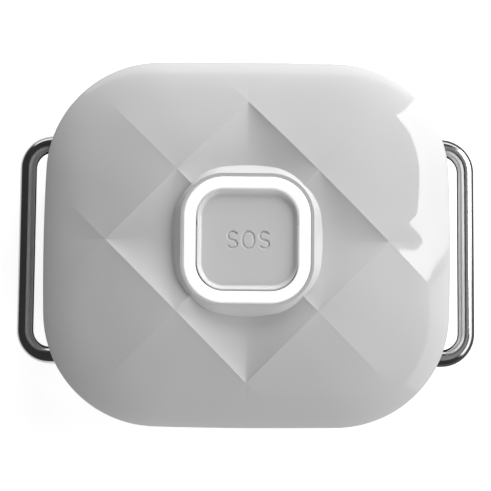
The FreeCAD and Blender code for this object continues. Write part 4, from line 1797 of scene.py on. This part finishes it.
class Glow(Graph):
    """Material that only gives light."""

    def shine(self, colour: object, strength: float) -> bpy.types.Material:
        """Adds the light.

        Args:
            colour: Its colour, or an expression.
            strength: Its strength.

        Returns:
            The material.
        """
        light = self.node("ShaderNodeEmission", {}, {"Color": colour, "Strength": strength})
        self.tree.links.new(light.value, self.output.inputs["Surface"])
        return self.material


@dataclass(frozen=True)
class LightPanel:
    """Upright light panel, which the camera doesn't see."""

    name: str
    azimuth: float
    distance: float
    half_width: float
    low: float
    high: float
    strength: float
    mirrored: bool = True
    lights: bool = True
    fade: float = 0.0
    shift: float = 0.0

    def build(self) -> bpy.types.Object:
        """Adds the panel, facing the object, or shifted along its own width.

        Returns:
            The panel.
        """
        angle = math.radians(self.azimuth)
        height = self.high - self.low
        along = Vector((-math.sin(angle), math.cos(angle), 0))
        middle = Vector((math.cos(angle) * self.distance, math.sin(angle) * self.distance,
                         (self.low + self.high) / 2)) * MM + along * self.shift * MM
        Bench.clear()
        bpy.ops.mesh.primitive_plane_add(size=1.0, location=middle,
                                         rotation=(math.pi / 2, 0, angle - math.pi / 2))
        panel = Bench.named(self.name)
        panel.scale = (2 * self.half_width * MM, height * MM, 1)
        Bench.settle(panel)
        glow = Glow(self.name)
        shade = (self.high - glow.axis(2) / MM) / height * self.fade
        panel.data.materials.append(glow.shine(glow.mix(shade, WHITE, BLACK), self.strength))
        panel.visible_camera = False
        panel.visible_glossy = self.mirrored
        panel.visible_diffuse = self.lights
        panel.visible_shadow = False
        panel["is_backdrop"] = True
        return panel


PANELS = (
    LightPanel("stage_softbox", 20.0, 300.0, 156.0, 60.0, 345.0, 3.12, mirrored=False),
    LightPanel("stage_softbox_face", 15.0, 300.0, 121.0, 10.0, 358.0, 7.3, lights=False,
               fade=0.65, shift=74.0),
    LightPanel("stage_fill_top", 78.0, 320.0, 215.0, 20.0, 200.0, 4.5, mirrored=False),
    LightPanel("stage_top_card", 90.0, 320.0, 260.0, 20.0, 160.0, 1.3, lights=False),
    LightPanel("stage_fill_base", -84.0, 320.0, 215.0, 20.0, 220.0, 2.2, mirrored=False),
    LightPanel("stage_loop_card", -16.5, 305.0, 120.0, 60.0, 300.0, 1.3, lights=False),
)


@dataclass
class PhotoCamera:
    """The photograph's camera, with its turn in degrees."""

    pitch: float = -6.63
    yaw: float = -0.446
    roll: float = 0.497
    distance: float = 199.99
    aim: tuple[float, float] = (-0.067, 1.013)
    focal_pixels: float = 1727.16
    picture_pixels: int = 491
    sensor: float = 36.0
    nearest: float = 5.0

    def build(self) -> bpy.types.Object:
        """Places the camera as in the photograph.

        Returns:
            The camera.
        """
        yaw, pitch, roll = (math.radians(a) for a in (self.yaw, self.pitch, self.roll))
        back = Vector((math.sin(yaw) * math.cos(pitch), math.sin(pitch),
                       math.cos(yaw) * math.cos(pitch)))
        right = Vector((0, 1, 0)).cross(back).normalized()
        up = back.cross(right)
        turned = right * math.cos(roll) + up * math.sin(roll)
        up = up * math.cos(roll) - right * math.sin(roll)
        data = bpy.data.cameras.new("photo_camera")
        data.sensor_width = self.sensor
        data.sensor_fit = "HORIZONTAL"
        data.lens = self.sensor * self.focal_pixels / self.picture_pixels
        data.clip_start = self.nearest * MM
        camera = bpy.data.objects.new("photo_camera", data)
        bpy.context.scene.collection.objects.link(camera)
        place = (turned * self.aim[0] + up * self.aim[1] + back * self.distance) * MM
        turn = Matrix((turned, up, back)).transposed().to_4x4()
        camera.matrix_world = Matrix.Translation(place) @ turn
        bpy.context.scene.camera = camera
        return camera


@dataclass
class Stage:
    """Pale floor, light panels, overhead card and world."""

    surround: float = 0.1
    mirrored_dark: float = 0.035
    card_glow: float = 0.28
    card_middle: float = 72.5
    card_height: float = 250.0
    card_size: tuple[float, float] = (225.0, 300.0)
    card_rise: tuple[float, float] = (-40.0, 75.0)
    card_fall: tuple[float, float] = (140.0, 185.0)
    floor_size: float = 4000.0
    floor_drop: float = 0.02
    floor_glow: float = 0.75
    floor_white: float = 0.8
    floor_mottle: float = 0.99
    floor_mirrored: float = 0.02
    paper_per_mm: float = 0.2
    glossy_left: float = 0.85
    glossy_right: float = 0.1
    glossy_beyond: float = 0.05
    glossy_sides: tuple[float, float] = (-10.0, 22.0)
    glossy_under: tuple[float, float] = (24.5, 27.5)
    glossy_edge: tuple[float, float] = (38.0, 48.0)

    def build(self) -> None:
        """Builds the stage."""
        self.floor()
        for panel in PANELS:
            panel.build()
        self.overhead_card()
        self.world()
        PhotoCamera().build()
        bpy.context.scene.view_settings.view_transform = "Standard"

    def floor(self) -> None:
        """Pale floor that keeps the shadow and shows white."""
        low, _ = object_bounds()
        Bench.clear()
        bpy.ops.mesh.primitive_plane_add(size=self.floor_size * MM,
                                         location=(0, 0, low.z - self.floor_drop * MM))
        floor = Bench.named("stage_floor")
        Bench.settle(floor)
        graph = Graph("stage_floor")
        camera = graph.node("ShaderNodeLightPath", {}, {}, "Is Camera Ray")
        glossy = graph.node("ShaderNodeLightPath", {}, {}, "Is Glossy Ray")
        paper = graph.noise(self.paper_per_mm, detail=2.0)
        white = graph.mix(paper, (self.floor_white,) * 3,
                          (self.floor_white * self.floor_mottle,) * 3)
        diffuse = graph.node("ShaderNodeBsdfDiffuse", {}, {
            "Color": graph.mix(glossy, white, (self.floor_mirrored,) * 3)})
        shown = camera * self.floor_glow + glossy * self.mirrored_floor(graph)
        glow = graph.node("ShaderNodeEmission", {}, {
            "Color": graph.mix(shown, BLACK, WHITE), "Strength": 1.0})
        both = graph.node("ShaderNodeAddShader", {}, {0: diffuse, 1: glow})
        graph.tree.links.new(both.value, graph.output.inputs["Surface"])
        floor.data.materials.append(graph.material)
        floor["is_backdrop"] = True

    def mirrored_floor(self, graph: Graph) -> Expr:
        """How bright the floor is in mirrors: dark under the object, bright beside it at the left.

        Args:
            graph: The floor's graph.

        Returns:
            The brightness.
        """
        away = graph.node("ShaderNodeVectorMath", {"operation": "LENGTH"},
                          {0: graph.place}, "Value") / MM
        side = (graph.axis(0) / MM).ramp(*self.glossy_sides)
        near = self.glossy_left + side * (self.glossy_right - self.glossy_left)
        near = near * away.ramp(*self.glossy_under)
        return near + away.ramp(*self.glossy_edge) * (self.glossy_beyond - near)

    def overhead_card(self) -> None:
        """Grey card above, darker towards its sides, which only the polished pieces mirror."""
        Bench.clear()
        bpy.ops.mesh.primitive_plane_add(
            size=1.0, location=(self.card_middle * MM, 0, self.card_height * MM))
        card = Bench.named("stage_card")
        card.scale = (self.card_size[0] * MM, self.card_size[1] * MM, 1)
        Bench.settle(card)
        glow = Glow("stage_card")
        across = glow.axis(0) / MM
        lit = across.ramp(*self.card_rise) * (1.0 - across.ramp(*self.card_fall))
        card.data.materials.append(glow.shine(glow.mix(lit, BLACK, WHITE), self.card_glow))
        card.visible_camera = False
        card.visible_diffuse = False
        card.visible_shadow = False
        card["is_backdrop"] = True

    def world(self) -> None:
        """Dim studio for the object, dimmer in mirrors, and white for the camera."""
        world = bpy.data.worlds.new("studio")
        bpy.context.scene.world = world
        world.use_nodes = True
        tree = world.node_tree
        background = tree.nodes["Background"]
        background.inputs["Color"].default_value = WHITE + (1.0,)
        path = tree.nodes.new("ShaderNodeLightPath")
        level = background.inputs["Strength"]
        for ray, shown in (("Is Camera Ray", 1.0), ("Is Glossy Ray", self.mirrored_dark)):
            blend = tree.nodes.new("ShaderNodeMix")
            share, dim, lit = blend.inputs[0], blend.inputs[2], blend.inputs[3]
            dim.default_value = self.surround
            lit.default_value = shown
            tree.links.new(path.outputs[ray], share)
            tree.links.new(blend.outputs[0], level)
            level = dim


def corners() -> list[list[float]]:
    """The corners of everything shown, as plain lists."""
    return [list(corner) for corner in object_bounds()]


def main() -> None:
    """Builds the part's pieces, the stage and the size note."""
    logging.basicConfig(level=logging.INFO, format="%(name)s: %(message)s")
    sizes = {"cad": corners()}
    outline = Outline()
    FrontCover(outline, Crown(outline)).build()
    RearCover().build()
    LightRing().build()
    CallButton().build()
    for hand in (1, -1):
        StrapLoop().build(hand)
    for fitting in FITTINGS:
        fitting.build()
    sizes["visual"] = corners()
    Stage().build()
    LOG.info("CAD box %s, visual box %s", sizes["cad"], sizes["visual"])


if __name__ == "__main__":
    main()
